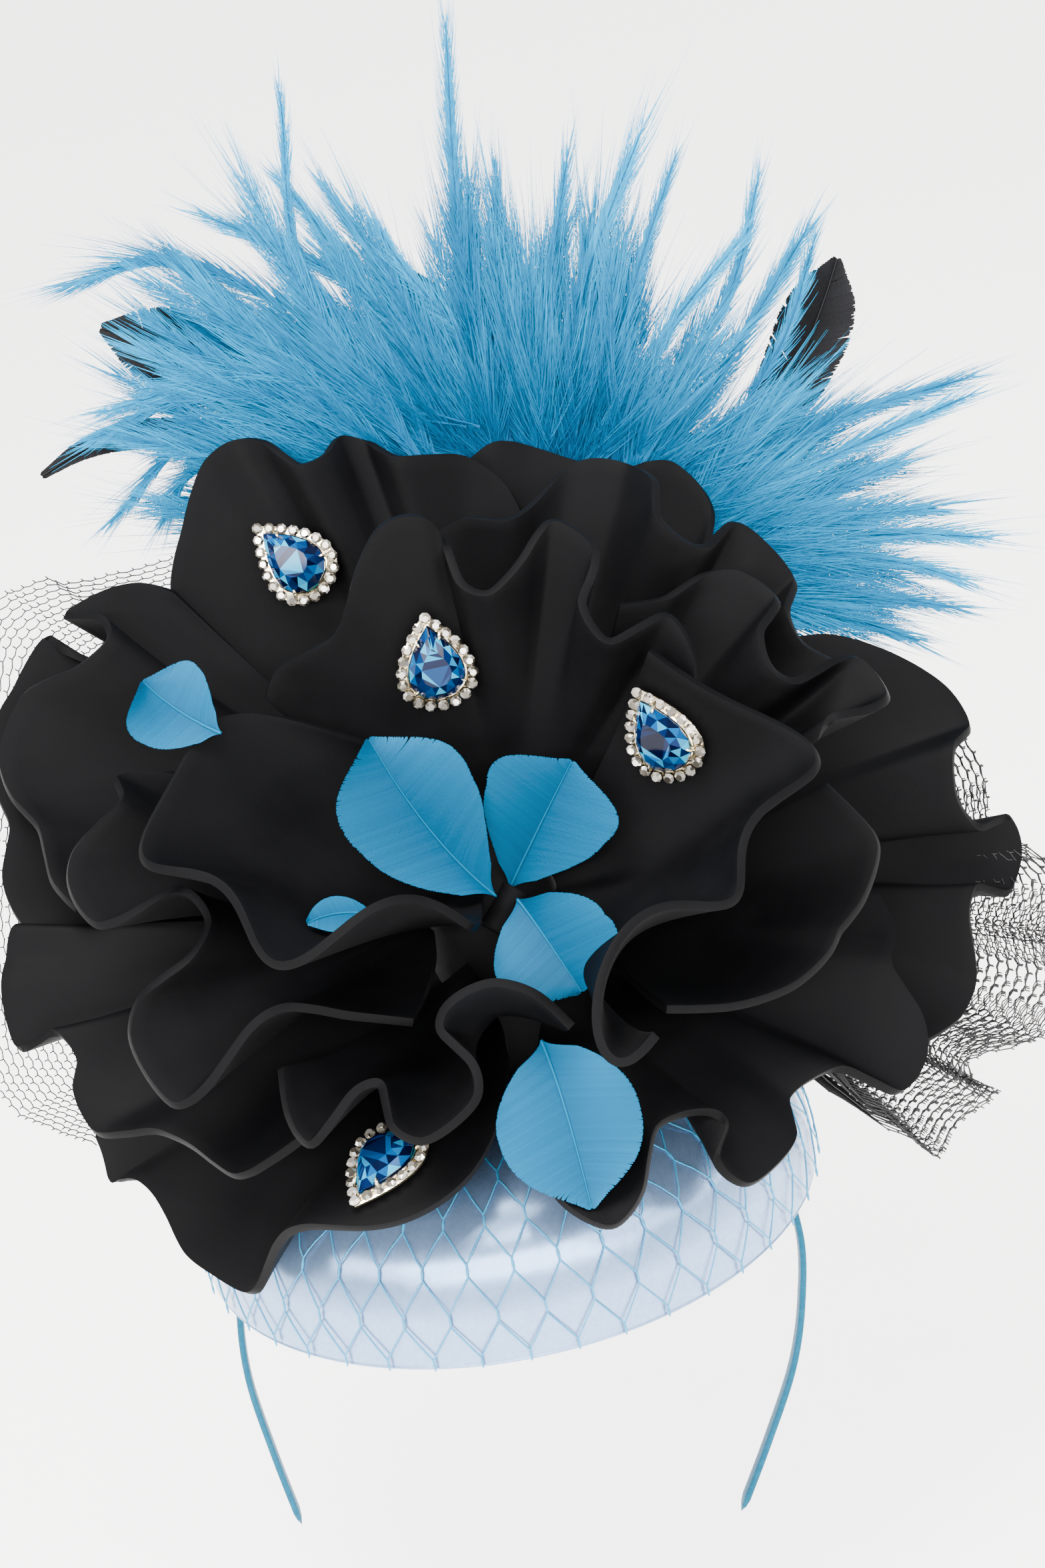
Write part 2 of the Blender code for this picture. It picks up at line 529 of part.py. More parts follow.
def make_band(collection):
    """A flat hairband: an arch under the crown whose arms close in towards their tips."""
    lie = Matrix.Rotation(BAND_TILT, 3, "Y") @ Matrix.Rotation(-BAND_LEAN, 3, "X")
    made = bmesh.new()
    edges = []
    left = [Vector((-x, 0, -z)) * MM for x, z in reversed(BAND_ROWS)]
    route = left + [Vector((x, 0, -z)) * MM for x, z in BAND_ROWS[1:]]
    for middle in smooth_curve(route, np.linspace(0, 1, BAND_STEPS + 1)):
        half = Vector((0, BAND_WIDTH / 2, 0))
        edges.append([made.verts.new(BAND_TOP + lie @ (middle + side * half)) for side in (1, -1)])
    for (a, b), (c, d) in zip(edges, edges[1:]):
        made.faces.new((a, b, d, c))
    mesh = bpy.data.meshes.new("headband")
    made.to_mesh(mesh)
    made.free()
    band = add_object("headband", mesh, "ribbon", collection)
    skin = band.modifiers.new("thickness", "SOLIDIFY")
    skin.thickness = BAND_THICKNESS
    skin.offset = 0
    return band


def make_core(collection):
    """The foam foot that carries the petals, standing on the crown."""
    foot = CAP_HEIGHT + SEAT_GAP
    profile = bpy.data.meshes.new("flower_core")
    outline = [(CORE_RADIUS * r, 0, foot + (CORE_TOP - foot) * h) for r, h in CORE_PROFILE]
    outline.append((0, 0, foot))
    profile.from_pydata(outline, [(i, i + 1) for i in range(len(outline) - 1)], [])
    core = add_object("flower_core", profile, "foam", collection)
    core.location = (CORE_MIDDLE.x, CORE_MIDDLE.y, 0)
    spin(core, CORE_STEPS)
    return core


def drop_outline(size, count):
    """Corners of a drop whose point is at +Y, in millimetre-true sizes across and along."""
    corners = []
    for index in range(count):
        angle = math.tau * index / count
        corners.append((size[0] / 2 * math.sin(angle) * math.sin(angle / 2) / 0.77, size[1] / 2 * math.cos(angle)))
    return corners


def stacked_mesh(name, rings):
    """A closed body through rings of equal counts of points, capped at both ends."""
    made = bmesh.new()
    layers = [[made.verts.new(point) for point in ring] for ring in rings]
    made.faces.new(reversed(layers[0]))
    made.faces.new(layers[-1])
    count = len(layers[0])
    for lower, upper in zip(layers, layers[1:]):
        for index in range(count):
            after = (index + 1) % count
            made.faces.new((lower[index], lower[after], upper[after], upper[index]))
    bmesh.ops.recalc_face_normals(made, faces=made.faces)
    mesh = bpy.data.meshes.new(name)
    made.to_mesh(mesh)
    made.free()
    return mesh


def volume(mesh):
    made = bmesh.new()
    made.from_mesh(mesh)
    found = made.calc_volume(signed=True)
    made.free()
    return found


def joined(name, meshes, finish, collection):
    """One solid made of several overlapping closed meshes."""
    pieces = bpy.data.collections.new(name + "_pieces")
    bpy.context.scene.collection.children.link(pieces)
    helpers = [bpy.data.objects.new(f"{name}_piece_{index}", mesh) for index, mesh in enumerate(meshes)]
    for helper in helpers:
        pieces.objects.link(helper)
    body, *others = helpers
    for other in others:
        for nudge in UNION_NUDGES:
            other.location = Vector((1, -0.7, 0.4)) * nudge
            union = body.modifiers.new("union", "BOOLEAN")
            union.operation = "UNION"
            union.object = other
            fused = evaluated_copy(body)
            body.modifiers.remove(union)
            if volume(fused) > volume(body.data):
                break
        body.data = fused
    mesh = body.data
    for helper in helpers:
        bpy.data.objects.remove(helper)
    bpy.data.collections.remove(pieces)
    made = add_object(name, mesh, finish, collection)
    mesh.name = name
    return made


def brooch_meshes():
    """Meshes of one setting and its stone, lying on Z = 0 with the point of the drop at +Y."""
    plate = drop_outline(SETTING_SIZE, HALO_STONES)
    pieces = [stacked_mesh("plate", [[(x, y, z) for x, y in plate] for z in (0, PLATE_THICKNESS)])]
    for x, y in drop_outline(HALO_SIZE, HALO_STONES):
        rings = []
        for share, height in HALO_SECTIONS:
            angles = [math.tau * (corner + 0.5) / HALO_CORNERS for corner in range(HALO_CORNERS)]
            radius = HALO_RADIUS * share
            z = PLATE_THICKNESS + height
            rings.append([(x + radius * math.cos(a), y + radius * math.sin(a), z) for a in angles])
        pieces.append(stacked_mesh("crystal", rings))
    stone = drop_outline(STONE_SIZE, STONE_CORNERS)
    foot = PLATE_THICKNESS + SEAT_GAP
    rings = [[(x * share, y * share, foot + z) for x, y in stone] for share, z in STONE_RINGS]
    return pieces, stacked_mesh("stone", rings)


def seat_brooches(trees, collection):
    """Sets each brooch flat on its petal, just clear of everything round it."""
    pieces, stone_mesh = brooch_meshes()
    first = joined("brooch_pattern", pieces, "gilt", collection)
    setting_mesh = first.data
    bpy.data.objects.remove(first)
    for number, (seen_x, seen_y, turn, petal) in enumerate(BROOCHES, start=1):
        middle = sight_point(seen_x, seen_y, 0)
        away = (middle - EYE).normalized()
        hits = []
        for angle in np.arange(8) * math.pi / 4:
            aside = ACROSS * math.cos(angle) * BROOCH_PATCH + UP * math.sin(angle) * BROOCH_PATCH
            hits.append(trees[petal].ray_cast(EYE, (middle + aside - EYE).normalized())[0])
        centre = trees[petal].ray_cast(EYE, away)[0]
        spokes = [hit - centre for hit in hits if hit is not None]
        normal = sum((a.cross(b).normalized() for a, b in zip(spokes, spokes[2:] + spokes[:2])), Vector()).normalized()
        seen_up = UP * math.cos(math.radians(turn)) - ACROSS * math.sin(math.radians(turn))
        point = (seen_up - normal * seen_up.dot(normal)).normalized()
        facing = Matrix((point.cross(normal), point, normal)).transposed().to_4x4()
        setting = add_object(f"brooch_{number}_setting", setting_mesh.copy(), "gilt", collection)
        stone = add_object(f"brooch_{number}_stone", stone_mesh.copy(), "stone", collection)
        lift = 0.0
        while lift < BROOCH_MOST_LIFT:
            lift += BROOCH_LIFT_STEP
            for item in (setting, stone):
                item.matrix_world = Matrix.Translation(centre + normal * lift) @ facing
            found = [tree_of(setting), tree_of(stone)]
            if not any(tree.overlap(other) for tree in found for other in trees.values()):
                break
        trees[setting.name], trees[stone.name] = found


def plume_grid():
    """Points of the fan, by column round it and by step from the core out to the locks' edges."""
    line = [sight_point(*place) for place in PLUME_LINE]
    root = sight_point(*PLUME_ROOT)
    tips = [sight_point(*lock[:3]) for lock in LOCKS]
    starts = smooth_curve(line, np.linspace(0, 1, 4 * len(LOCKS) - 1))
    shoulders = [starts[4 * number + 1].lerp(tip, PLUME_SHOULDER) for number, tip in enumerate(tips)]
    ends = []
    for number, lock in enumerate(LOCKS):
        nearest = min((shoulders[number] - other).length for other in shoulders if other != shoulders[number])
        half = min(lock.breadth * MM / 2, nearest * PLUME_MOST_BREADTH)
        side = (tips[number] - starts[4 * number + 1]).cross(TOWARD).normalized() * half
        ends += [shoulders[number] - side, tips[number], shoulders[number] + side]
        if number < len(LOCKS) - 1:
            valley = tips[number].lerp(tips[number + 1], 0.5)
            ends.append(starts[4 * number + 3].lerp(valley, lock.notch))
    width = (line[-1] - line[0]).normalized() * PLUME_ROOT_WIDTH * MM
    quills = [root + width * (share - 0.5) for share in np.linspace(0, 1, len(ends))]
    return np.array([[list(point) for point in column] for column in zip(quills, starts, ends)])


def build():
    clear_scene()
    parts = bpy.data.collections.new("fascinator")
    bpy.context.scene.collection.children.link(parts)
    trees = {}
    for make in (make_cap, make_veil, make_band, make_core):
        made = make(parts)
        trees[made.name] = tree_of(made)
    behind = []
    for leaf in BLACK_FEATHERS:
        grid = leaf_grid(leaf, BLADE_STATIONS, 2)
        behind.append(lay(leaf.name, grid, "black_feather", FEATHER_THICKNESS, trees, parts))
    lay("plume", plume_grid(), "plume", PLUME_THICKNESS, trees, parts)
    for feather in behind:
        settle(feather, trees, SETTLE_STEP)
    nets = []
    for sheet in NETS:
        grid = sheet_grid(sheet, len(sheet.turns) - 1, 2)
        nets.append(lay(sheet.name, grid, "net", NET_THICKNESS, trees, parts))
    for sheet in (*BACK_PETALS, *MIDDLE_PETALS, *INNER_PETALS):
        columns = TURN_STEPS * (len(sheet.turns) - 1)
        lay(sheet.name, sheet_grid(sheet, columns, PETAL_RIBS), "foam", PETAL_THICKNESS, trees, parts)
    for hanging in (*(bpy.data.objects[name] for name in LATE_SEATS), *nets):
        settle(hanging, trees, SETTLE_STEP)
    for leaf in LEAVES:
        lay(leaf.name, leaf_grid(leaf, BLADE_STATIONS, 2), "leaf", LEAF_THICKNESS, trees, parts)
    seat_brooches(trees, parts)


build()
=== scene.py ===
"""Dressed fascinator: the looks of the satin cap, its veil and hairband, the foam flower, the jewels, the
trimmed leaves, the feathers and the nets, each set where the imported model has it.
"""

import json
import math
from collections import namedtuple

import bmesh
import bpy
import numpy as np
from mathutils import Matrix, Vector
from mathutils.bvhtree import BVHTree

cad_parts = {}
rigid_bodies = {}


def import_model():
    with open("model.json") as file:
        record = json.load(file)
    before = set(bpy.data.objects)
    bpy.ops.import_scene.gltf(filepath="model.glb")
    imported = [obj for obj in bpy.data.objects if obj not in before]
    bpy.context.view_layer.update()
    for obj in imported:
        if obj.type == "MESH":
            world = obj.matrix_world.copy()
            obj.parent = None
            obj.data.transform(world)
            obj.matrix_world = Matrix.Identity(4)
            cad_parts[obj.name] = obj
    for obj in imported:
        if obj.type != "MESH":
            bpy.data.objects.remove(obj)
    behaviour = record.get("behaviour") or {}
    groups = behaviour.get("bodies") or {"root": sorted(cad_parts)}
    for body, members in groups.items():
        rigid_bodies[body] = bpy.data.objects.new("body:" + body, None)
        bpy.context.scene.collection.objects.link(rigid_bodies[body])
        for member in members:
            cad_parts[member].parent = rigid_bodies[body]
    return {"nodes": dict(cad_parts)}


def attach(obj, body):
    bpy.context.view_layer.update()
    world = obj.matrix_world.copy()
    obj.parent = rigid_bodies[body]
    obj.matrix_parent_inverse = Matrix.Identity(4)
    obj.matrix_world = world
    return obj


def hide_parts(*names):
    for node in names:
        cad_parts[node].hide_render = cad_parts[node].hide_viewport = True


MM = 0.001

# Cap, veil and hairband
CAP_RADIUS = 0.0767
CAP_HEIGHT = 0.042
CAP_WALL = 0.0022
CAP_STEPS = 24
# The cap's outline from its crown to its rim, as shares of its radius and height.
CAP_PROFILE = (
    (0.0, 1.0), (0.30, 0.985), (0.56, 0.93), (0.78, 0.82),
    (0.92, 0.62), (0.985, 0.36), (1.0, 0.12), (1.0, 0.0),
)
VEIL_COLUMNS = 18
VEIL_LEVELS = 5
VEIL_SHARES = (0.05, 0.62)
VEIL_STRAND = 0.0009
VEIL_LIFT = 0.0020
BAND_WIDTH = 0.005
BAND_THICKNESS = 0.0018
BAND_TOP = Vector((0.011, 0.018, 0.037))
# Rows of the band from its top: half span and drop in millimetres.
BAND_ROWS = ((0, 0), (28, 7), (50, 21), (64, 38), (71, 56), (72, 74), (70, 92), (64, 112), (57, 132))
BAND_TILT = math.radians(11)
BAND_LEAN = math.radians(11)
BAND_LIE = Matrix.Rotation(BAND_TILT, 3, "Y") @ Matrix.Rotation(-BAND_LEAN, 3, "X")
BAND_STEPS = 32

# Foam flower
PETAL_THICKNESS = 0.0020
LEAF_THICKNESS = 0.0010
FEATHER_THICKNESS = 0.0010
NET_THICKNESS = 0.0010
PETAL_RIBS = 2
LATE_SEATS = ("petal_middle_right", "petal_back_left")
TURN_STEPS = 2
RUFFLE_FADE = 2.6
CORE_MIDDLE = Vector((0.009, 0.0, 0.0))
CORE_TOP = 0.098
CORE_PROFILE = ((0.0, 1.0), (0.35, 0.97), (0.7, 0.86), (0.9, 0.6), (1.0, 0.0))
CORE_RADIUS = 0.020
CORE_STEPS = 16

# Sight frame: where the eye stands when it looks at the front
EYE_DEPTH = 0.700
EYE_RISE = math.radians(21)
EYE_ROLL = math.radians(11)
FOCAL_UNITS = 4200
PICTURE_MIDDLE = (784, 1176)
CAP_CENTRE_SEEN = (766, 1790)
TOWARD = Vector((0, -math.cos(EYE_RISE), math.sin(EYE_RISE)))
LEVEL_UP = Vector((0, math.sin(EYE_RISE), math.cos(EYE_RISE)))
ACROSS = Vector((1, 0, 0)) * math.cos(EYE_ROLL) - LEVEL_UP * math.sin(EYE_ROLL)
UP = Vector((1, 0, 0)) * math.sin(EYE_ROLL) + LEVEL_UP * math.cos(EYE_ROLL)
UNIT_SIZE = EYE_DEPTH / FOCAL_UNITS
EYE = (
    TOWARD * EYE_DEPTH
    - ACROSS * (CAP_CENTRE_SEEN[0] - PICTURE_MIDDLE[0]) * UNIT_SIZE
    - UP * (PICTURE_MIDDLE[1] - CAP_CENTRE_SEEN[1]) * UNIT_SIZE
)
FLOWER_AXIS = Vector((0, -math.sin(math.radians(38)), math.cos(math.radians(38))))

# Seats, and how sheets are laid on each other
SEAT_GAP = 0.0003
QUILL_WIDTH = 0.0016
BLADE_STATIONS = 7
UNTANGLE_TRIES = 24
SETTLE_STEP = 0.0002
SETTLE_TRIES = 90
BROOCH_PATCH = 0.006
SHEET_GAP = 0.0006
LOOK_AHEAD = 0.014
CLEARANCES = ((0.0, 0.0), (0.0005, 0.001), (0.001, 0.002), (0.0015, 0.003), (0.002, 0.004), (0.003, 0.004),
              (0.004, 0.005), (0.006, 0.005), (0.008, 0.006), (0.011, 0.006), (0.015, 0.007))

Sheet = namedtuple("Sheet", "name root_x root_y root_toward root_radius belly_out belly_back turns")

# Rows of turns: seen_x, seen_y, toward_mm. One row for each crest, dip or end of the ruffled edge.
BACK_PETALS = (
    Sheet("petal_back_top", 800, 1250, 14, 12, 0, 4, (
        (690, 705, 6), (738, 664, 8), (790, 668, 6), (860, 690, 6), (930, 705, 8), (975, 692, 12),
        (1012, 694, 12), (1052, 730, 14), (1070, 768, 16), (1062, 812, 18))),
    Sheet("petal_back_left", 690, 1320, 16, 12, 0, 4, (
        (130, 990, 16), (92, 973, 14), (68, 956, 12), (42, 990, 12), (18, 1036, 14), (-10, 1090, 16),
        (-12, 1175, 18), (14, 1240, 22), (3, 1318, 24), (40, 1395, 28), (130, 1436, 34), (220, 1480, 38))),
    Sheet("petal_right", 835, 1300, 16, 14, 0, 4, (
        (1180, 958, 12), (1250, 952, 14), (1340, 980, 16), (1420, 1030, 18), (1456, 1090, 22),
        (1433, 1120, 30), (1436, 1195, 31), (1472, 1241, 26), (1516, 1226, 20), (1533, 1278, 18),
        (1514, 1339, 22), (1468, 1331, 31), (1455, 1378, 31), (1466, 1465, 26), (1440, 1528, 28),
        (1380, 1568, 32))),
    Sheet("petal_upper_left", 730, 1258, 16, 14, 0, 5, (
        (285, 985, 22), (256, 885, 20), (272, 795, 20), (302, 698, 20), (352, 660, 18), (399, 664, 22),
        (445, 696, 30), (488, 680, 26), (508, 655, 18), (552, 662, 17), (595, 684, 24), (690, 682, 18),
        (757, 724, 16), (788, 780, 16))),
    Sheet("petal_left", 690, 1300, 22, 12, 0, 5, (
        (262, 888, 24), (212, 874, 24), (150, 888, 26), (97, 922, 28), (146, 925, 36),
        (162, 957, 40), (108, 1005, 38), (36, 1040, 34), (-2, 1130, 34), (18, 1198, 38), (57, 1243, 42),
        (76, 1320, 46), (114, 1365, 50))),
    Sheet("petal_bottom_left", 735, 1425, 34, 14, 0, -8, (
        (762, 1600, 62), (755, 1672, 74), (715, 1765, 84), (640, 1820, 88), (550, 1851, 88), (452, 1832, 82),
        (412, 1866, 72), (395, 1928, 62), (372, 1948, 58), (320, 1909, 50), (276, 1886, 44), (256, 1828, 40),
        (206, 1752, 36), (166, 1788, 32), (160, 1742, 34), (143, 1703, 38))),
    Sheet("petal_lower_left", 700, 1390, 32, 12, 0, 0, (
        (62, 1402, 28), (20, 1392, 30), (10, 1440, 32), (3, 1490, 36), (27, 1573, 38), (80, 1549, 44),
        (115, 1590, 46), (110, 1636, 48), (146, 1701, 54), (230, 1697, 62), (290, 1722, 68), (350, 1764, 74),
        (400, 1746, 78), (455, 1708, 80))),
    Sheet("petal_lower_right", 812, 1415, 34, 14, 0, -8, (
        (1318, 1343, 38), (1343, 1396, 42), (1338, 1446, 46), (1381, 1515, 46), (1390, 1582, 46),
        (1348, 1639, 50), (1262, 1604, 60), (1185, 1648, 62), (1193, 1712, 70), (1126, 1777, 78),
        (1076, 1742, 82), (1091, 1690, 80), (1058, 1668, 80), (986, 1692, 84), (966, 1785, 92),
        (918, 1841, 96), (845, 1806, 94), (800, 1740, 88))),
)
MIDDLE_PETALS = (
    Sheet("petal_middle_top", 795, 1270, 28, 12, 0, 4, (
        (650, 802, 30), (700, 776, 36), (760, 779, 38), (802, 752, 32), (846, 705, 27), (892, 688, 27),
        (948, 698, 30), (983, 722, 42), (987, 772, 48), (1030, 812, 46), (1064, 817, 42), (1102, 783, 32),
        (1150, 814, 32), (1193, 870, 32), (1182, 912, 42), (1205, 964, 42), (1255, 992, 38))),
    Sheet("petal_middle_right", 822, 1305, 32, 12, 0, 5, (
        (930, 906, 46), (1000, 896, 46), (1056, 861, 42), (1112, 857, 42), (1167, 900, 46), (1142, 944, 56),
        (1155, 998, 58), (1195, 1021, 54), (1250, 992, 48), (1294, 989, 46), (1333, 1042, 52),
        (1300, 1065, 58), (1250, 1076, 60), (1228, 1110, 58))),
    Sheet("petal_middle_lower_right", 822, 1352, 38, 12, 0, 6, (
        (1240, 1175, 56), (1300, 1235, 60), (1319, 1277, 62), (1296, 1350, 68), (1262, 1396, 72),
        (1245, 1430, 72), (1190, 1480, 78), (1100, 1510, 84), (1000, 1514, 88))),
    Sheet("petal_middle_left", 700, 1345, 34, 12, 0, 5, (
        (310, 1163, 42), (236, 1158, 42), (174, 1168, 46), (181, 1200, 56), (112, 1272, 58), (104, 1335, 62),
        (145, 1388, 66), (205, 1366, 70), (268, 1333, 70), (312, 1380, 74), (280, 1440, 80), (213, 1493, 82),
        (196, 1565, 84), (256, 1656, 92), (312, 1628, 92), (372, 1546, 90), (430, 1511, 88),
        (520, 1523, 86), (620, 1534, 84))),
    Sheet("petal_middle_bottom", 765, 1412, 46, 12, 4, 6, (
        (858, 1540, 98), (805, 1492, 102), (738, 1474, 102), (676, 1503, 102), (661, 1546, 100),
        (708, 1594, 102), (713, 1652, 104), (640, 1711, 106), (587, 1688, 104), (571, 1627, 98),
        (528, 1642, 98), (468, 1717, 98), (431, 1672, 94), (421, 1602, 88))),
)
INNER_PETALS = (
    Sheet("petal_inner_top", 768, 1290, 36, 10, 0, 8, (
        (398, 1048, 44), (418, 1001, 46), (500, 955, 52), (529, 870, 60), (568, 791, 64), (630, 774, 64),
        (667, 812, 60), (690, 872, 64), (735, 888, 66), (785, 836, 64), (828, 780, 60), (891, 818, 62),
        (886, 868, 64), (874, 908, 68), (916, 962, 72), (1000, 922, 66), (1043, 985, 66), (1045, 1045, 66))),
    Sheet("petal_inner_right", 800, 1335, 42, 6, 6, 8, (
        (975, 975, 64), (1040, 1036, 68), (1112, 1070, 70), (1200, 1081, 70), (1256, 1122, 74),
        (1264, 1182, 80), (1172, 1172, 88), (1080, 1222, 92), (1098, 1296, 90), (1147, 1350, 90),
        (1104, 1388, 96), (1040, 1358, 100), (972, 1314, 102), (906, 1388, 106), (852, 1528, 112),
        (892, 1637, 118), (960, 1634, 116), (985, 1552, 112))),
    Sheet("petal_inner_left", 752, 1322, 42, 5, 6, 8, (
        (550, 1114, 46), (450, 1068, 50), (350, 1047, 54), (268, 1068, 56), (309, 1118, 66), (256, 1200, 72),
        (178, 1256, 76), (186, 1326, 82), (240, 1322, 86), (332, 1268, 88), (392, 1338, 92), (352, 1440, 98),
        (404, 1505, 104), (482, 1452, 106), (522, 1358, 106), (598, 1310, 104), (660, 1342, 96),
        (708, 1392, 90))),
)
Leaf = namedtuple("Leaf", "name base bend tip breadth fullest bare cup")

# Rows of leaves and black feathers: base, bend and tip as seen_x, seen_y, toward_mm, then the breadth in
# millimetres, the share of the blade where it is fullest, the share of bare quill, and the fold in degrees.
LEAVES = (
    Leaf("leaf_feather_left", (745, 1345, 46), (640, 1262, 52), (553, 1108, 60), 31, 0.62, 0.0, 20),
    Leaf("leaf_feather_right", (764, 1334, 48), (808, 1240, 56), (858, 1142, 64), 30, 0.62, 0.0, 20),
    Leaf("leaf_feather_low", (776, 1348, 54), (808, 1390, 58), (850, 1455, 64), 22, 0.55, 0.0, 20),
    Leaf("leaf_feather_bottom", (812, 1560, 80), (846, 1640, 86), (888, 1812, 90), 34, 0.56, 0.0, 16),
    Leaf("leaf_feather_far_left", (332, 1100, 44), (262, 1070, 46), (214, 1022, 48), 22, 0.6, 0.0, 10),
    Leaf("leaf_feather_small", (560, 1372, 70), (505, 1362, 70), (462, 1384, 70), 8, 0.55, 0.0, 10),
)
BLACK_FEATHERS = (
    Leaf("black_feather_left", (640, 740, -10), (400, 560, -20), (152, 492, -26), 16, 0.55, 0.30, 8),
    Leaf("black_feather_far_left", (560, 780, -10), (250, 560, -16), (64, 714, -18), 8, 0.5, 0.10, 8),
    Leaf("black_feather_back", (870, 770, -10), (700, 440, -24), (556, 386, -26), 8, 0.4, 0.05, 8),
    Leaf("black_feather_right", (1020, 830, -10), (1190, 620, -22), (1256, 388, -28), 17, 0.55, 0.30, 8),
)
NETS = (
    Sheet("net_right", 900, 1330, 6, 26, 0, 0, (
        (1420, 1060, 6), (1478, 1150, 10), (1492, 1240, 4), (1600, 1320, 10), (1572, 1400, 2),
        (1610, 1470, 10), (1558, 1560, 2), (1452, 1596, 12), (1500, 1640, 4), (1440, 1690, 12),
        (1394, 1730, 6), (1210, 1600, 10))),
    Sheet("net_left", 660, 1320, -4, 26, 0, 0, (
        (262, 830, -4), (150, 862, -8), (40, 872, 0), (-40, 930, -8), (-62, 1080, 0), (-48, 1230, -8),
        (-66, 1370, 0), (-40, 1520, -8), (-8, 1640, 0), (60, 1690, -6), (140, 1722, 0))),
)

# Brooches: seen_x, seen_y of the middle, turn_deg of the point of the drop from straight up, and its petal.
BROOCHES = (
    (443, 837, 48, "petal_upper_left"),
    (650, 984, 12, "petal_inner_top"),
    (993, 1096, 20, "petal_inner_right"),
    (577, 1757, 172, "petal_bottom_left"),
)
STONE_SIZE = (0.0130, 0.0180)
SETTING_SIZE = (0.0178, 0.0234)
HALO_SIZE = (0.0166, 0.0220)
HALO_RADIUS = 0.00135
DROP_FULLEST = 0.77
# A claw's way over the stone: its reach as a share of the stone's outline, and its rise off the plate.
CLAW_ROUTE = ((1.06, 0.0), (1.06, 0.0014), (1.0, 0.0021), (0.86, 0.0026))
PLATE_THICKNESS = 0.0012
# A plate's and a stone's tiers from the lowest: share of the outline, and height.
PLATE_TIERS = ((0.96, 0.0), (1.0, 0.0003), (1.0, 0.0008), (0.95, PLATE_THICKNESS))
STONE_TIERS = ((0.94, 0.0), (1.0, 0.0011), (0.82, 0.0029), (0.54, 0.0044))
CLAW_PLACES = (0.13, 0.37, 0.63, 0.87)
RIM_RADIUS = 0.00038

# Plume: quills start on the core, cross the line where the locks part, and fan out. Each lock has its tip as
# seen_x, seen_y, toward_mm, its breadth in millimetres and how deep the notch after it cuts, as a share.
PLUME_ROOT = (790, 1235, 6)
PLUME_ROOT_WIDTH = 26
PLUME_LINE = ((420, 830, 14), (560, 730, 12), (760, 700, 4), (960, 760, 6), (1090, 870, 10), (1150, 990, 12))
PLUME_THICKNESS = 0.0024
PLUME_SHOULDER = 0.66
PLUME_MOST_BREADTH = 0.36
Lock = namedtuple("Lock", "tip_x tip_y toward breadth notch")
LOCKS = (
    Lock(172, 790, 8, 9, 0.5), Lock(140, 655, 2, 11, 0.4), Lock(110, 432, -8, 13, 0.35),
    Lock(285, 330, -6, 16, 0.5), Lock(412, 140, -6, 13, 0.45), Lock(590, 330, -4, 14, 0.4),
    Lock(668, 30, 0, 13, 0.3), Lock(740, 240, -2, 11, 0.5), Lock(850, 226, -6, 14, 0.5),
    Lock(955, 190, -4, 17, 0.45), Lock(1138, 262, -8, 13, 0.45), Lock(1222, 342, -8, 15, 0.35),
    Lock(1250, 560, -2, 13, 0.6), Lock(1462, 570, -6, 15, 0.4), Lock(1490, 810, -6, 14, 0.5),
    Lock(1400, 945, -2, 11, 0.6),
)

# Finer shapes of the dressed pieces
FINE_TURN = 8
FINE_RIBS = 20
PETAL_BEVEL = 0.0006
CAP_BEVEL = 0.0009
CAP_FINE_STEPS = 120
CAP_FINE_RIBS = 40
VEIL_FINE_COLUMNS = 44
VEIL_FINE_LEVELS = 9
# Where the veiling starts and ends on the cap, as shares of the way from its rim to its crown.
VEIL_FOOT = 0.02
VEIL_TOP = 0.97
VEIL_STRAND_STEPS = 5
VEIL_RADIUS = 0.00022
# Half a knot, as a share of the way from the cap's rim to its crown.
KNOT_HALF = 0.0016 / 0.115
KNOT_RADII = (0.00022, 0.00040, 0.00022)
NET_CELL = 0.0027
NET_LAYERS = {"net_right": 4, "net_left": 1}
NET_RADIUS = 0.00019
NET_RIBS = 24
# The rib along which a fan's width is measured, to size its cells.
NET_WIDTH_RIB = 16
PLEAT_DEPTH = 0.0016
LAYER_GAP = 0.001
BAND_FINE_STEPS = 160
QUILL_RADIUS = 0.00045
BARB_SPACING = 0.00034
FLOOR_HEIGHT = -0.108
VEIL_SURFACE = 0.0010
HALO_FINE_STONES = 20

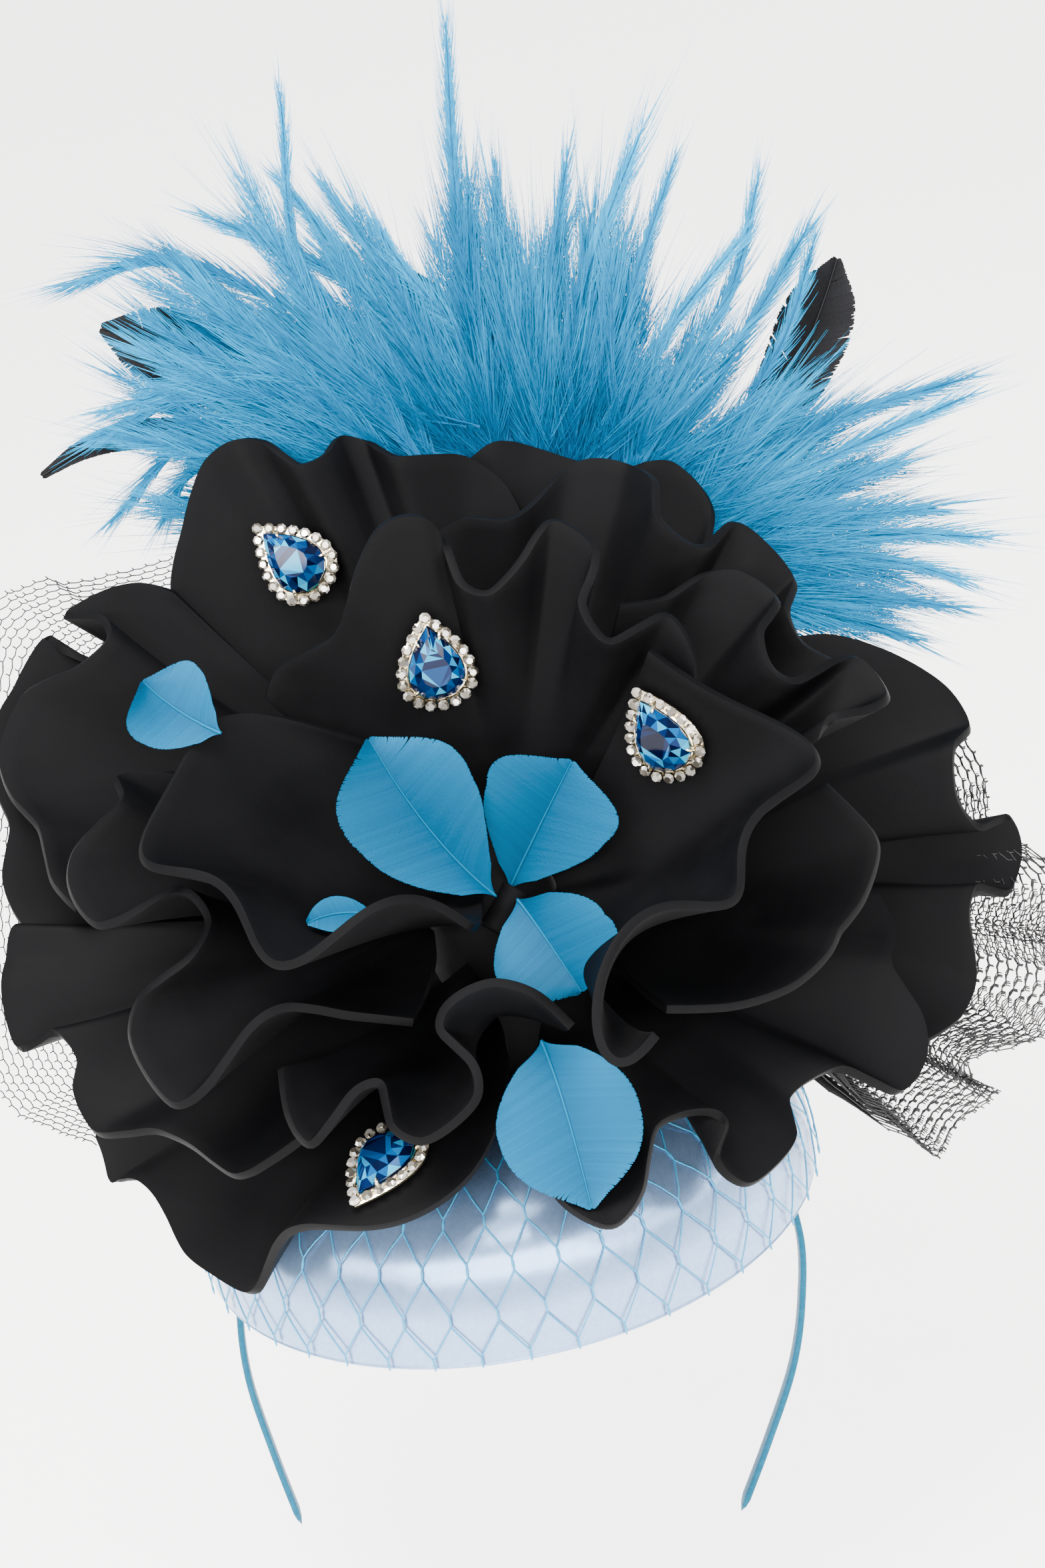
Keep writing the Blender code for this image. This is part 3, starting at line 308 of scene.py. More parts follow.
# Long feathers of the plume: root, bend and tip as seen_x, seen_y, then breadth in millimetres and fullness.
LONG_FEATHERS = (
    ((745, 560), (470, 430), (418, 130), 9, 0.8), ((760, 600), (520, 420), (300, 320), 11, 1.0),
    ((700, 620), (300, 400), (95, 430), 12, 0.8), ((720, 640), (400, 560), (150, 620), 11, 1.0),
    ((700, 660), (330, 640), (165, 785), 8, 1.0), ((690, 680), (330, 690), (245, 780), 8, 1.0),
    ((700, 640), (330, 590), (135, 660), 10, 0.9), ((740, 560), (520, 380), (410, 260), 8, 0.7),
    ((750, 560), (560, 380), (480, 270), 8, 0.7), ((750, 560), (620, 420), (560, 330), 8, 0.7),
    ((750, 560), (690, 350), (668, 30), 11, 0.9), ((765, 560), (755, 400), (742, 240), 7, 1.0),
    ((840, 620), (830, 420), (852, 226), 10, 0.9), ((850, 620), (880, 420), (965, 188), 16, 0.7),
    ((900, 640), (950, 430), (1015, 230), 9, 0.8), ((930, 650), (1000, 500), (1115, 355), 10, 1.0),
    ((960, 670), (1090, 450), (1140, 260), 10, 0.6), ((1000, 690), (1130, 480), (1215, 337), 11, 0.8),
    ((1040, 720), (1170, 520), (1225, 350), 8, 0.6), ((1050, 760), (1230, 640), (1462, 563), 12, 0.9),
    ((1060, 780), (1260, 680), (1462, 590), 10, 0.9), ((1070, 800), (1230, 740), (1350, 692), 9, 1.0),
    ((1080, 840), (1280, 775), (1405, 762), 10, 1.0), ((1090, 870), (1300, 805), (1488, 806), 12, 0.9),
    ((1090, 890), (1300, 840), (1450, 870), 10, 1.0), ((1090, 920), (1290, 895), (1440, 912), 10, 1.0),
    ((1100, 940), (1270, 930), (1380, 962), 9, 1.0),
)
# How much fuller than plain each blade is towards its tip, and its breadth as a share of the plain one.
BLADE_SHAPES = {
    "leaf_feather_left": (0.22, 1.0), "leaf_feather_right": (0.30, 1.0), "leaf_feather_low": (0.40, 1.0),
    "leaf_feather_bottom": (0.10, 0.94), "leaf_feather_far_left": (0.20, 1.0),
    "black_feather_left": (0.30, 1.35), "black_feather_right": (0.35, 1.1),
}
BLADE_DETAIL = 121
BLADE_ACROSS = 8
BLADE_AHEAD = 0.004
BLADE_QUILL_SHADE = 1.4
# Barbs of a trimmed blade: spacing, sweep towards the tip, how ragged the edge is, and the quill's radius.
LEAF_BARBS = (0.00026, 0.15, 0.02, 0.00036)
BLACK_BARBS = (0.00035, 0.16, 0.22, 0.0005)
ROLL_ENDS = ((742, 1398), (778, 1336))
ROLL_LIFT = 2.5
ROLL_THICKNESS = 0.0011
ROLL_TURNS = 1.6
ROLL_RADII = (0.0011, 0.0034)
LOW_LEAF_SIZE = 1.3
# Where the short feathers of the bed lie along the fan, from 0 at its left end to 1: first, last, count.
FLUFF_SPANS = ((0.02, 0.98, 96), (0.3, 0.7, 26), (0.0, 0.24, 30), (0.80, 1.0, 40))
FLUFF_FULLNESS = ((0.0, 0.2, 0.35, 0.6, 0.72, 0.80, 1.0), (1.0, 1.05, 0.86, 0.86, 0.62, 0.92, 1.0))
PLUME_HEART = (800, 720)
PLUME_CLEARANCE = 8.0
LEAST_LEAN = 0.14
BARB_WIDTHS = (0.00036, 0.00026, 0.00016)
# Barbs: how long they are along a feather, and how wide along themselves, both as shares.
BARB_LENGTHS = ((0.1, 0.3, 0.6, 0.85, 1.0), (0.8, 1.0, 0.85, 0.58, 0.25))
BARB_TAPER = ((0, 0.5, 1), (0.5, 0.45, 0.08))
FEATHER_QUILL_SHADE = 0.2
FLUFF_BREADTH = 15
FLUFF_REACH = (0.35, 0.88)
STATIONS = 22
BARB_POINTS = 4
FLUFF_DENSITY = 0.95
BED_GROUPS = ("bed_left", "bed_middle_left", "bed_middle_right", "bed_right")
# Vanes: their half breadth as a share of the feather's, then shares of its length and how full they are.
BED_VANE = (0.13, (0, 0.15, 0.5, 0.75), (0.3, 1, 0.6, 0))
LONG_VANE = (0.14, (0.2, 0.55, 0.85, 1), (0.2, 1, 0.75, 0))
# Random tone of each feather; the long feathers' range sits higher, toward the ramp's pale end, a painted
# glow of light through thin barbs.
BED_TONES = (-0.2, 0.2)
LONG_TONES = (0, 0.4)
POINTED = 0.00001
QUILL_STATIONS = 8
BARE_QUILL_SHADE = 0.15

# Colours of feathers, stones and crystals: shade or facet value, then red, green and blue.
LEAF_STOPS = ((0.0, (0.0, 0.052, 0.118)), (0.6, (0.0, 0.077, 0.165)), (1.0, (0.0, 0.102, 0.205)))
# The plume's ramp runs from painted shade in the dense heart to a painted glow of light through pale tips,
# across the feathers' own blue.
PLUME_PAINTED_SHADE_TO_GLOW_STOPS = ((0.0, (0.0, 0.040, 0.110)), (0.5, (0.0, 0.120, 0.265)), (1.0, (0.0, 0.29, 0.53)))
BLACK_STOPS = ((0.0, (0.002, 0.002, 0.0025)), (0.6, (0.006, 0.006, 0.007)), (1.0, (0.014, 0.014, 0.015)))
# Stone facets take random values along this ramp: the deep blue is the stone's own, the bright cyan end is
# painted reflection and glints on the facets.
STONE_BLUE_AND_GLINT_STOPS = (
    (0.0, (0.0, 0.001, 0.010)), (0.4, (0.0, 0.010, 0.055)),
    (0.75, (0.0, 0.055, 0.17)), (1.0, (0.01, 0.30, 0.48)),
)
# Crystal facets take random greys to near white: painted sparkle and reflections.
CRYSTAL_PAINTED_SPARKLE_STOPS = ((0.0, (0.04, 0.035, 0.03)), (0.45, (0.26, 0.23, 0.18)), (1.0, (0.95, 0.91, 0.84)))

# Lights: place and aim, the size of the lit rectangle, power in watts and colour.
LIGHTS = (
    ("overhead", (-0.25, -0.35, 1.5), (0, 0, 0.08), (0.9, 0.9), 62, (1.0, 0.99, 0.97)),
    ("front", (-0.1, -1.35, 0.66), (0, 0, 0.03), (1.8, 0.2), 46, (1.0, 1.0, 1.0)),
    ("front_left", (-1.3, -0.75, 0.66), (0, 0, 0.03), (1.4, 0.2), 15, (1.0, 1.0, 1.0)),
    ("front_right", (1.2, -0.85, 0.66), (0, 0, 0.03), (1.4, 0.2), 15, (1.0, 1.0, 1.0)),
)


def clear_selection():
    bpy.ops.object.select_all(action="DESELECT")


def select(*pieces):
    """Selects these pieces and nothing else, with the first of them active."""
    clear_selection()
    for piece in pieces:
        piece.select_set(True)
    bpy.context.view_layer.objects.active = pieces[0]


def add_object(name, data):
    made = bpy.data.objects.new(name, data)
    bpy.context.scene.collection.objects.link(made)
    return made


def add_guide(name, mesh):
    """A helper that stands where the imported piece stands, until all places are found."""
    return add_object("guide_" + name, mesh)


def mesh_of(made, name):
    """A mesh of what was built in an editing mesh, which is then freed."""
    mesh = bpy.data.meshes.new(name)
    made.to_mesh(mesh)
    made.free()
    return mesh


def add_skin(piece, thickness, offset=0):
    """Gives a surface its thickness, half to each side or, at an offset of -1, all inwards."""
    skin = piece.modifiers.new("thickness", "SOLIDIFY")
    skin.thickness = thickness
    skin.offset = offset
    return skin


def round_edges(piece, width, segments):
    """Rounds the edges where faces meet at a sharp angle."""
    edge = piece.modifiers.new("edge", "BEVEL")
    edge.width = width
    edge.segments = segments
    edge.limit_method = "ANGLE"
    edge.angle_limit = math.radians(60)


def evaluated_copy(item):
    """A plain mesh of the object with its modifiers applied."""
    bpy.context.view_layer.update()
    graph = bpy.context.evaluated_depsgraph_get()
    return bpy.data.meshes.new_from_object(item.evaluated_get(graph))


def tree_of(item):
    mesh = evaluated_copy(item)
    made = bmesh.new()
    made.from_mesh(mesh)
    bmesh.ops.transform(made, matrix=item.matrix_world, verts=made.verts)
    tree = BVHTree.FromBMesh(made)
    made.free()
    bpy.data.meshes.remove(mesh)
    return tree


def sight_point(seen_x, seen_y, toward_mm):
    depth = EYE_DEPTH - toward_mm * MM
    across = (seen_x - PICTURE_MIDDLE[0]) / FOCAL_UNITS * depth
    up = (PICTURE_MIDDLE[1] - seen_y) / FOCAL_UNITS * depth
    return EYE + ACROSS * across + UP * up - TOWARD * depth


def nearer(point, step):
    """The point moved along its sight line until it stands that much nearer the eye."""
    depth = (EYE - point).dot(TOWARD)
    return point + (EYE - point) * (step / depth)


def smooth_curve(points, shares):
    """Points of a rounded curve through the given ones, at shares from 0 to 1 counted by the row."""
    ends = [points[0] * 2 - points[1], *points, points[-1] * 2 - points[-2]]
    found = []
    for share in shares:
        place = min(share * (len(points) - 1), len(points) - 1 - 1e-9)
        first = int(place)
        part = place - first
        before, start, end, after = ends[first:first + 4]
        found.append(
            start
            + (end - before) * (0.5 * part)
            + (before * 2 - start * 5 + end * 4 - after) * (0.5 * part ** 2)
            + (start * 3 - before - end * 3 + after) * (0.5 * part ** 3)
        )
    return found


def sheet_grid(sheet, columns, ribs):
    """Points of the sheet, by column along its edge and by rib step from root to edge."""
    turns = [sight_point(*turn) for turn in sheet.turns]
    shares = np.linspace(0, 1, columns + 1)
    edge = np.array([list(point) for point in smooth_curve(turns, shares)])
    calm = np.stack([np.polyval(np.polyfit(shares, edge[:, axis], 4), shares) for axis in range(3)], axis=1)
    root = np.array(sight_point(sheet.root_x, sheet.root_y, sheet.root_toward))
    seen = (calm - root) @ np.array([ACROSS, UP]).T
    turn, first = np.polyfit(shares, np.unwrap(np.arctan2(seen[:, 1], seen[:, 0])), 1)
    angles = first + turn * shares
    arc = np.outer(np.cos(angles), ACROSS) + np.outer(np.sin(angles), UP)
    roots = root + arc * sheet.root_radius * MM
    reach = calm - roots
    axis = np.array(FLOWER_AXIS)
    flat = reach - np.outer(reach @ axis, axis)
    flat /= np.linalg.norm(flat, axis=1)[:, None]
    middle = (roots + calm) / 2 + flat * sheet.belly_out * MM - axis * sheet.belly_back * MM
    grid = np.empty((columns + 1, ribs + 1, 3))
    for step in range(ribs + 1):
        v = (step / ribs) ** 0.8
        grid[:, step] = (1 - v) ** 2 * roots + 2 * v * (1 - v) * middle + v ** 2 * calm
        grid[:, step] += (edge - calm) * v ** RUFFLE_FADE
    return grid


def needed_steps(grid, trees, clearance, reach):
    """How far each point has to come nearer the eye to clear what lies behind it."""
    offsets = [Vector((0, 0, 0))]
    if reach:
        turns = np.arange(8) * math.pi / 4
        offsets += [ACROSS * math.cos(turn) * reach + UP * math.sin(turn) * reach for turn in turns]
    steps = np.zeros(grid.shape[:2])
    for index in np.ndindex(*steps.shape):
        point = Vector(grid[index])
        for offset in offsets:
            start = nearer(point + offset, LOOK_AHEAD)
            away = (start - EYE).normalized()
            for tree in trees:
                hit = tree.ray_cast(start, away)[0]
                if hit is not None:
                    step = (hit - point).dot(TOWARD) + clearance
                    steps[index] = max(steps[index], step)
    return steps


def softened(steps):
    """The same steps with their neighbours raised, so that a sheet bends smoothly over what it clears."""
    least = steps.copy()
    least[:, 0] = least[:, 0].max()
    soft = least.copy()
    for _ in range(10):
        wide = np.pad(soft, 1, mode="edge")
        mean = (wide[:-2, 1:-1] + wide[2:, 1:-1] + wide[1:-1, :-2] + wide[1:-1, 2:] + wide[1:-1, 1:-1]) / 5
        soft = np.maximum(least, mean)
    return soft


def moved(grid, steps):
    placed = np.empty_like(grid)
    for index in np.ndindex(*steps.shape):
        placed[index] = nearer(Vector(grid[index]), steps[index])
    return placed


def grid_mesh(name, grid):
    columns, ribs = grid.shape[0] - 1, grid.shape[1] - 1
    made = bmesh.new()
    bmesh.ops.create_grid(made, x_segments=columns, y_segments=ribs, size=1)
    for vertex in made.verts:
        column = round((vertex.co.x + 1) / 2 * columns)
        rib = round((vertex.co.y + 1) / 2 * ribs)
        vertex.co = grid[column, rib]
    bmesh.ops.recalc_face_normals(made, faces=made.faces)
    return mesh_of(made, name)


def lay(name, grid, thickness, trees, smooth_edge=False):
    """Adds a guide sheet in front of what is already there, as close to it as it fits."""
    made = add_guide(name, grid_mesh(name, grid))
    skin = add_skin(made, thickness)
    for clearance, reach in CLEARANCES:
        steps = softened(needed_steps(grid, trees.values(), thickness / 2 + SHEET_GAP + clearance, reach))
        placed = moved(grid, steps)
        skin.thickness = thickness + SHEET_GAP
        for attempt in range(UNTANGLE_TRIES):
            old = made.data
            made.data = grid_mesh(name, placed)
            bpy.data.meshes.remove(old)
            if not cuts_itself(made):
                break
            rows = slice(None) if smooth_edge and attempt > UNTANGLE_TRIES / 2 else slice(None, -1)
            placed[1:-1, rows] = (placed[:-2, rows] + placed[1:-1, rows] * 2 + placed[2:, rows]) / 4
        tree = tree_of(made)
        if not any(tree.overlap(other) for other in trees.values()):
            break
    skin.thickness = thickness
    settle(made, trees, -SETTLE_STEP)
    return made


def settle(made, trees, step):
    """Moves a sheet along the sight lines, to the eye or away, until it lies a seat's gap from something."""
    skin = made.modifiers["thickness"]
    skin.thickness += 2 * SEAT_GAP
    others = [tree for name, tree in trees.items() if name != made.name]
    start = made.data.copy()
    touches = False
    for _ in range(SETTLE_TRIES):
        before = made.data.copy()
        for vertex in made.data.vertices:
            vertex.co = nearer(vertex.co, step)
        tree = tree_of(made)
        touches = any(tree.overlap(other) for other in others)
        if touches:
            made.data = before
            break
    if not touches:
        made.data = start
    skin.thickness -= 2 * SEAT_GAP
    trees[made.name] = tree_of(made)


def cuts_itself(item):
    mesh = evaluated_copy(item)
    made = bmesh.new()
    made.from_mesh(mesh)
    bmesh.ops.triangulate(made, faces=made.faces)
    made.faces.ensure_lookup_table()
    tree = BVHTree.FromBMesh(made)
    corners = [{vertex.index for vertex in face.verts} for face in made.faces]
    found = any(not corners[a] & corners[b] for a, b in tree.overlap(tree))
    made.free()
    bpy.data.meshes.remove(mesh)
    return found


def leaf_grid(leaf, columns, ribs):
    """Points of a leaf or feather, by station along its quill and by step across its blade."""
    base, bend, tip = (sight_point(*place) for place in (leaf.base, leaf.bend, leaf.tip))
    stations = leaf.bare + (1 - leaf.bare) * np.linspace(0, 1, columns)
    stations = np.concatenate([[0.0], stations]) if leaf.bare else stations
    power = math.log(0.5) / math.log(leaf.fullest)
    grid = np.empty((len(stations), ribs + 1, 3))
    for index, u in enumerate(stations):
        middle = base * (1 - u) ** 2 + bend * (2 * u * (1 - u)) + tip * u ** 2
        along = ((bend - base) * (1 - u) + (tip - bend) * u).normalized()
        side = along.cross(TOWARD).normalized()
        blade = max(u - leaf.bare, 0) / (1 - leaf.bare)
        half = max(leaf.breadth * MM / 2 * math.sin(math.pi * blade ** power) ** 0.7, QUILL_WIDTH / 2)
        for step in range(ribs + 1):
            across = (2 * step / ribs - 1) * half
            fold = abs(across) * math.tan(math.radians(leaf.cup))
            grid[index, step] = middle + side * across + TOWARD * fold
    return grid


def cap_guide():
    profile = bpy.data.meshes.new("cap")
    outline = [(CAP_RADIUS * r, 0, CAP_HEIGHT * h) for r, h in CAP_PROFILE]
    profile.from_pydata(outline, [(i, i + 1) for i in range(len(outline) - 1)], [])
    cap = add_guide("cap", profile)
    spin(cap, CAP_STEPS)
    add_skin(cap, CAP_WALL, -1)
    return cap


def spin(item, steps):
    turn = item.modifiers.new("turn", "SCREW")
    turn.steps = turn.render_steps = steps
    turn.use_merge_vertices = True
    turn.merge_threshold = 0.00005
    turn.use_smooth_shade = True


def cap_surface(share, angle, lift):
    """A point at a share of the way from the rim to the crown, lifted off the cap's outer face."""
    outline = [Vector((CAP_RADIUS * r, 0, CAP_HEIGHT * h)) for r, h in reversed(CAP_PROFILE)]
    lengths = np.cumsum([0.0] + [(b - a).length for a, b in zip(outline, outline[1:])])
    place = share * lengths[-1]
    first = min(int(np.searchsorted(lengths, place, side="right")) - 1, len(outline) - 2)
    start, end = outline[first], outline[first + 1]
    along = (end - start).normalized()
    point = start + along * (place - lengths[first]) + Vector((along.z, 0, -along.x)) * lift
    return Matrix.Rotation(angle, 3, "Z") @ point


def veil_guide():
    """A diamond net round the side and shoulder of the cap, its crossings joined."""
    made = bmesh.new()
    rows = []
    for level in range(VEIL_LEVELS + 1):
        share = VEIL_SHARES[0] + (VEIL_SHARES[1] - VEIL_SHARES[0]) * level / VEIL_LEVELS
        angles = [(column + level / 2) / VEIL_COLUMNS * math.tau for column in range(VEIL_COLUMNS)]
        rows.append([made.verts.new(cap_surface(share, angle, VEIL_LIFT)) for angle in angles])
    for lower, middle, upper in zip(rows, rows[1:], rows[2:]):
        for column in range(VEIL_COLUMNS):
            before = (column - 1) % VEIL_COLUMNS
            made.faces.new((lower[column], middle[column], upper[before], middle[before]))
    veil = add_guide("veil", mesh_of(made, "veil"))
    strands = veil.modifiers.new("strands", "WIREFRAME")
    strands.thickness = VEIL_STRAND
    strands.use_even_offset = False
    strands.use_boundary = True
    return veil


def band_route():
    """The band's middle line from tip to tip, before it is tilted and leant."""
    left = [Vector((-x, 0, -z)) * MM for x, z in reversed(BAND_ROWS)]
    return left + [Vector((x, 0, -z)) * MM for x, z in BAND_ROWS[1:]]


def band_guide():
    """A flat hairband: an arch under the crown whose arms close in towards their tips."""
    made = bmesh.new()
    edges = []
    half = Vector((0, BAND_WIDTH / 2, 0))
    for middle in smooth_curve(band_route(), np.linspace(0, 1, BAND_STEPS + 1)):
        edges.append([made.verts.new(BAND_TOP + BAND_LIE @ (middle + side * half)) for side in (1, -1)])
    for (a, b), (c, d) in zip(edges, edges[1:]):
        made.faces.new((a, b, d, c))
    band = add_guide("headband", mesh_of(made, "headband"))
    add_skin(band, BAND_THICKNESS)
    return band


def core_guide():
    """The foam foot that carries the petals, standing on the crown."""
    foot = CAP_HEIGHT + SEAT_GAP
    profile = bpy.data.meshes.new("flower_core")
    outline = [(CORE_RADIUS * r, 0, foot + (CORE_TOP - foot) * h) for r, h in CORE_PROFILE]
    outline.append((0, 0, foot))
    profile.from_pydata(outline, [(i, i + 1) for i in range(len(outline) - 1)], [])
    core = add_guide("flower_core", profile)
    core.location = (CORE_MIDDLE.x, CORE_MIDDLE.y, 0)
    spin(core, CORE_STEPS)
    return core


def drop_outline(size, count):
    """Corners of a drop whose point is at +Y, of the given size across and along."""
    corners = []
    for index in range(count):
        angle = math.tau * index / count
        across = size[0] / 2 * math.sin(angle) * math.sin(angle / 2) / DROP_FULLEST
        corners.append((across, size[1] / 2 * math.cos(angle)))
    return corners


def add_stack(name, rings):
    """A closed body through rings of equal counts of points, capped at both ends."""
    made = bmesh.new()
    layers = [[made.verts.new(point) for point in ring] for ring in rings]
    made.faces.new(reversed(layers[0]))
    made.faces.new(layers[-1])
    count = len(layers[0])
    for lower, upper in zip(layers, layers[1:]):
        for index in range(count):
            after = (index + 1) % count
            made.faces.new((lower[index], lower[after], upper[after], upper[index]))
    bmesh.ops.recalc_face_normals(made, faces=made.faces)
    return add_object(name, mesh_of(made, name))


def plume_grid():
    """Points of the fan, by column round it and by step from the core out to the locks' edges."""
    line = [sight_point(*place) for place in PLUME_LINE]
    root = sight_point(*PLUME_ROOT)
    tips = [sight_point(*lock[:3]) for lock in LOCKS]
    starts = smooth_curve(line, np.linspace(0, 1, 4 * len(LOCKS) - 1))
    shoulders = [starts[4 * number + 1].lerp(tip, PLUME_SHOULDER) for number, tip in enumerate(tips)]
    ends = []
    for number, lock in enumerate(LOCKS):
        nearest = min((shoulders[number] - other).length for other in shoulders if other != shoulders[number])
        half = min(lock.breadth * MM / 2, nearest * PLUME_MOST_BREADTH)
        side = (tips[number] - starts[4 * number + 1]).cross(TOWARD).normalized() * half
        ends += [shoulders[number] - side, tips[number], shoulders[number] + side]
        if number < len(LOCKS) - 1:
            valley = tips[number].lerp(tips[number + 1], 0.5)
            ends.append(starts[4 * number + 3].lerp(valley, lock.notch))
    width = (line[-1] - line[0]).normalized() * PLUME_ROOT_WIDTH * MM
    quills = [root + width * (share - 0.5) for share in np.linspace(0, 1, len(ends))]
    return np.array([[list(point) for point in column] for column in zip(quills, starts, ends)])


def grid_from(mesh, columns, ribs):
    """The points of a guide's mesh, by column and rib."""
    made = bmesh.new()
    bmesh.ops.create_grid(made, x_segments=columns, y_segments=ribs, size=1)
    grid = np.empty((columns + 1, ribs + 1, 3))
    for vertex, placed in zip(made.verts, mesh.vertices):
        grid[round((vertex.co.x + 1) / 2 * columns), round((vertex.co.y + 1) / 2 * ribs)] = placed.co
    made.free()
    return grid


def place_guides(nodes):
    """Lays every sheet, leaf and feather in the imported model's order: trees, grids and brooch places."""
    trees, shapes = {}, {}
    for make in (cap_guide, veil_guide, band_guide, core_guide):
        guide = make()
        trees[guide.name.removeprefix("guide_")] = tree_of(guide)
    behind = []
    for leaf in BLACK_FEATHERS:
        grid = leaf_grid(leaf, BLADE_STATIONS, 2)
        behind.append(lay(leaf.name, grid, FEATHER_THICKNESS, trees))
        shapes[leaf.name] = grid.shape
    plume = plume_grid()
    shapes["plume"] = plume.shape
    lay("plume", plume, PLUME_THICKNESS, trees)
    for feather in behind:
        settle(feather, trees, SETTLE_STEP)
    nets = []
    for sheet in NETS:
        grid = sheet_grid(sheet, len(sheet.turns) - 1, 2)
        nets.append(lay(sheet.name, grid, NET_THICKNESS, trees))
        shapes[sheet.name] = grid.shape
    petals = {}
    for sheet in (*BACK_PETALS, *MIDDLE_PETALS, *INNER_PETALS):
        grid = sheet_grid(sheet, TURN_STEPS * (len(sheet.turns) - 1), PETAL_RIBS)
        petals[sheet.name] = lay(sheet.name, grid, PETAL_THICKNESS, trees, smooth_edge=True)
        shapes[sheet.name] = grid.shape
    for hanging in (*(petals[name] for name in LATE_SEATS), *nets):
        settle(hanging, trees, SETTLE_STEP)
    for leaf in LEAVES:
        grid = leaf_grid(leaf, BLADE_STATIONS, 2)
        lay(leaf.name, grid, LEAF_THICKNESS, trees)
        shapes[leaf.name] = grid.shape
    grids = {}
    for name, shape in shapes.items():
        grids[name] = grid_from(bpy.data.objects["guide_" + name].data, shape[0] - 1, shape[1] - 1)
    places = seat_brooches(trees, nodes)
    for item in [item for item in bpy.data.objects if item.name.startswith("guide_")]:
        bpy.data.objects.remove(item)
    return trees, grids, places


def seat_brooches(trees, nodes):
    """The place of each brooch: flat on its petal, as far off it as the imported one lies."""
    places = []
    for number, (seen_x, seen_y, turn, petal) in enumerate(BROOCHES, start=1):
        middle = sight_point(seen_x, seen_y, 0)
        away = (middle - EYE).normalized()
        hits = []
        for angle in np.arange(8) * math.pi / 4:
            aside = ACROSS * math.cos(angle) * BROOCH_PATCH + UP * math.sin(angle) * BROOCH_PATCH
            hits.append(trees["guide_" + petal].ray_cast(EYE, (middle + aside - EYE).normalized())[0])
        centre = trees["guide_" + petal].ray_cast(EYE, away)[0]
        spokes = [hit - centre for hit in hits if hit is not None]
        crossed = [a.cross(b).normalized() for a, b in zip(spokes, spokes[2:] + spokes[:2])]
        normal = sum(crossed, Vector()).normalized()
        seen_up = UP * math.cos(math.radians(turn)) - ACROSS * math.sin(math.radians(turn))
        point = (seen_up - normal * seen_up.dot(normal)).normalized()
        facing = Matrix((point.cross(normal), point, normal)).transposed().to_4x4()
        packed = nodes[f"brooch_{number}_setting"].data.vertices
        lift = min((vertex.co - centre).dot(normal) for vertex in packed)
        places.append(Matrix.Translation(centre + normal * lift) @ facing)
    return places


def curve_array(points, shares):
    """Rounded curves through rows of points, for all columns of a grid at once."""
    rows = np.asarray(points, dtype=float)
    ends = np.concatenate([[rows[0] * 2 - rows[1]], rows, [rows[-1] * 2 - rows[-2]]])
    place = np.minimum(np.asarray(shares) * (len(rows) - 1), len(rows) - 1 - 1e-9)
    first = place.astype(int)
    part = (place - first).reshape(-1, *([1] * (rows.ndim - 1)))
    before, start, end, after = (ends[first + step] for step in range(4))
    return (
        start
        + (end - before) * (0.5 * part)
        + (before * 2 - start * 5 + end * 4 - after) * (0.5 * part ** 2)
        + (start * 3 - before - end * 3 + after) * (0.5 * part ** 3)
    )


def fine_sheet(grid, columns, ribs):
    """A smooth surface through a guide's three rows of points: root, middle and edge."""
    rows = curve_array(grid, np.linspace(0, 1, columns + 1))
    middle = 0.5 ** 0.8
    v = (np.linspace(0, 1, ribs + 1) ** 0.8)[None, :, None]
    root, mid, edge = (rows[:, index][:, None] for index in range(3))
    return (
        root * (v - middle) * (v - 1) / middle
        + mid * v * (v - 1) / (middle * (middle - 1))
        + edge * v * (v - middle) / (1 - middle)
    )


def add_grid(name, points):
    """A grid primitive shaped through the given points, by column and rib, with its own UV map."""
    columns, ribs = points.shape[0] - 1, points.shape[1] - 1
    clear_selection()
    bpy.ops.mesh.primitive_grid_add(x_subdivisions=columns, y_subdivisions=ribs, size=2, calc_uvs=True)
    made = bpy.context.active_object
    made.name = made.data.name = name
    for vertex in made.data.vertices:
        column = round((vertex.co.x + 1) / 2 * columns)
        rib = round((vertex.co.y + 1) / 2 * ribs)
        vertex.co = points[column, rib]
    return made


def apply_all(piece):
    select(piece)
    for modifier in list(piece.modifiers):
        bpy.ops.object.modifier_apply(modifier=modifier.name)


def close_seams(piece, gap=0.00002):
    """Merges the points where a turned surface meets itself, and points its faces outwards."""
    select(piece)
    bpy.ops.object.mode_set(mode="EDIT")
    bpy.ops.mesh.select_all(action="SELECT")
    bpy.ops.mesh.remove_doubles(threshold=gap)
    bpy.ops.mesh.normals_make_consistent(inside=False)
    bpy.ops.object.mode_set(mode="OBJECT")


def add_mesh(name, points, faces):
    mesh = bpy.data.meshes.new(name)
    mesh.from_pydata(np.asarray(points).reshape(-1, 3).tolist(), [], np.asarray(faces).tolist())
    mesh.update()
    mesh.shade_smooth()
    return add_object(name, mesh)


def finish_piece(piece, slot, finishes, *nodes):
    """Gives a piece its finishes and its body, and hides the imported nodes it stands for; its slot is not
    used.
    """
    piece.data.materials.clear()
    for finish in finishes:
        piece.data.materials.append(finish)
    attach(piece, "root")
    if nodes:
        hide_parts(*nodes)
    return piece


def unit(vectors):
    return vectors / np.maximum(np.linalg.norm(vectors, axis=-1, keepdims=True), 1e-12)


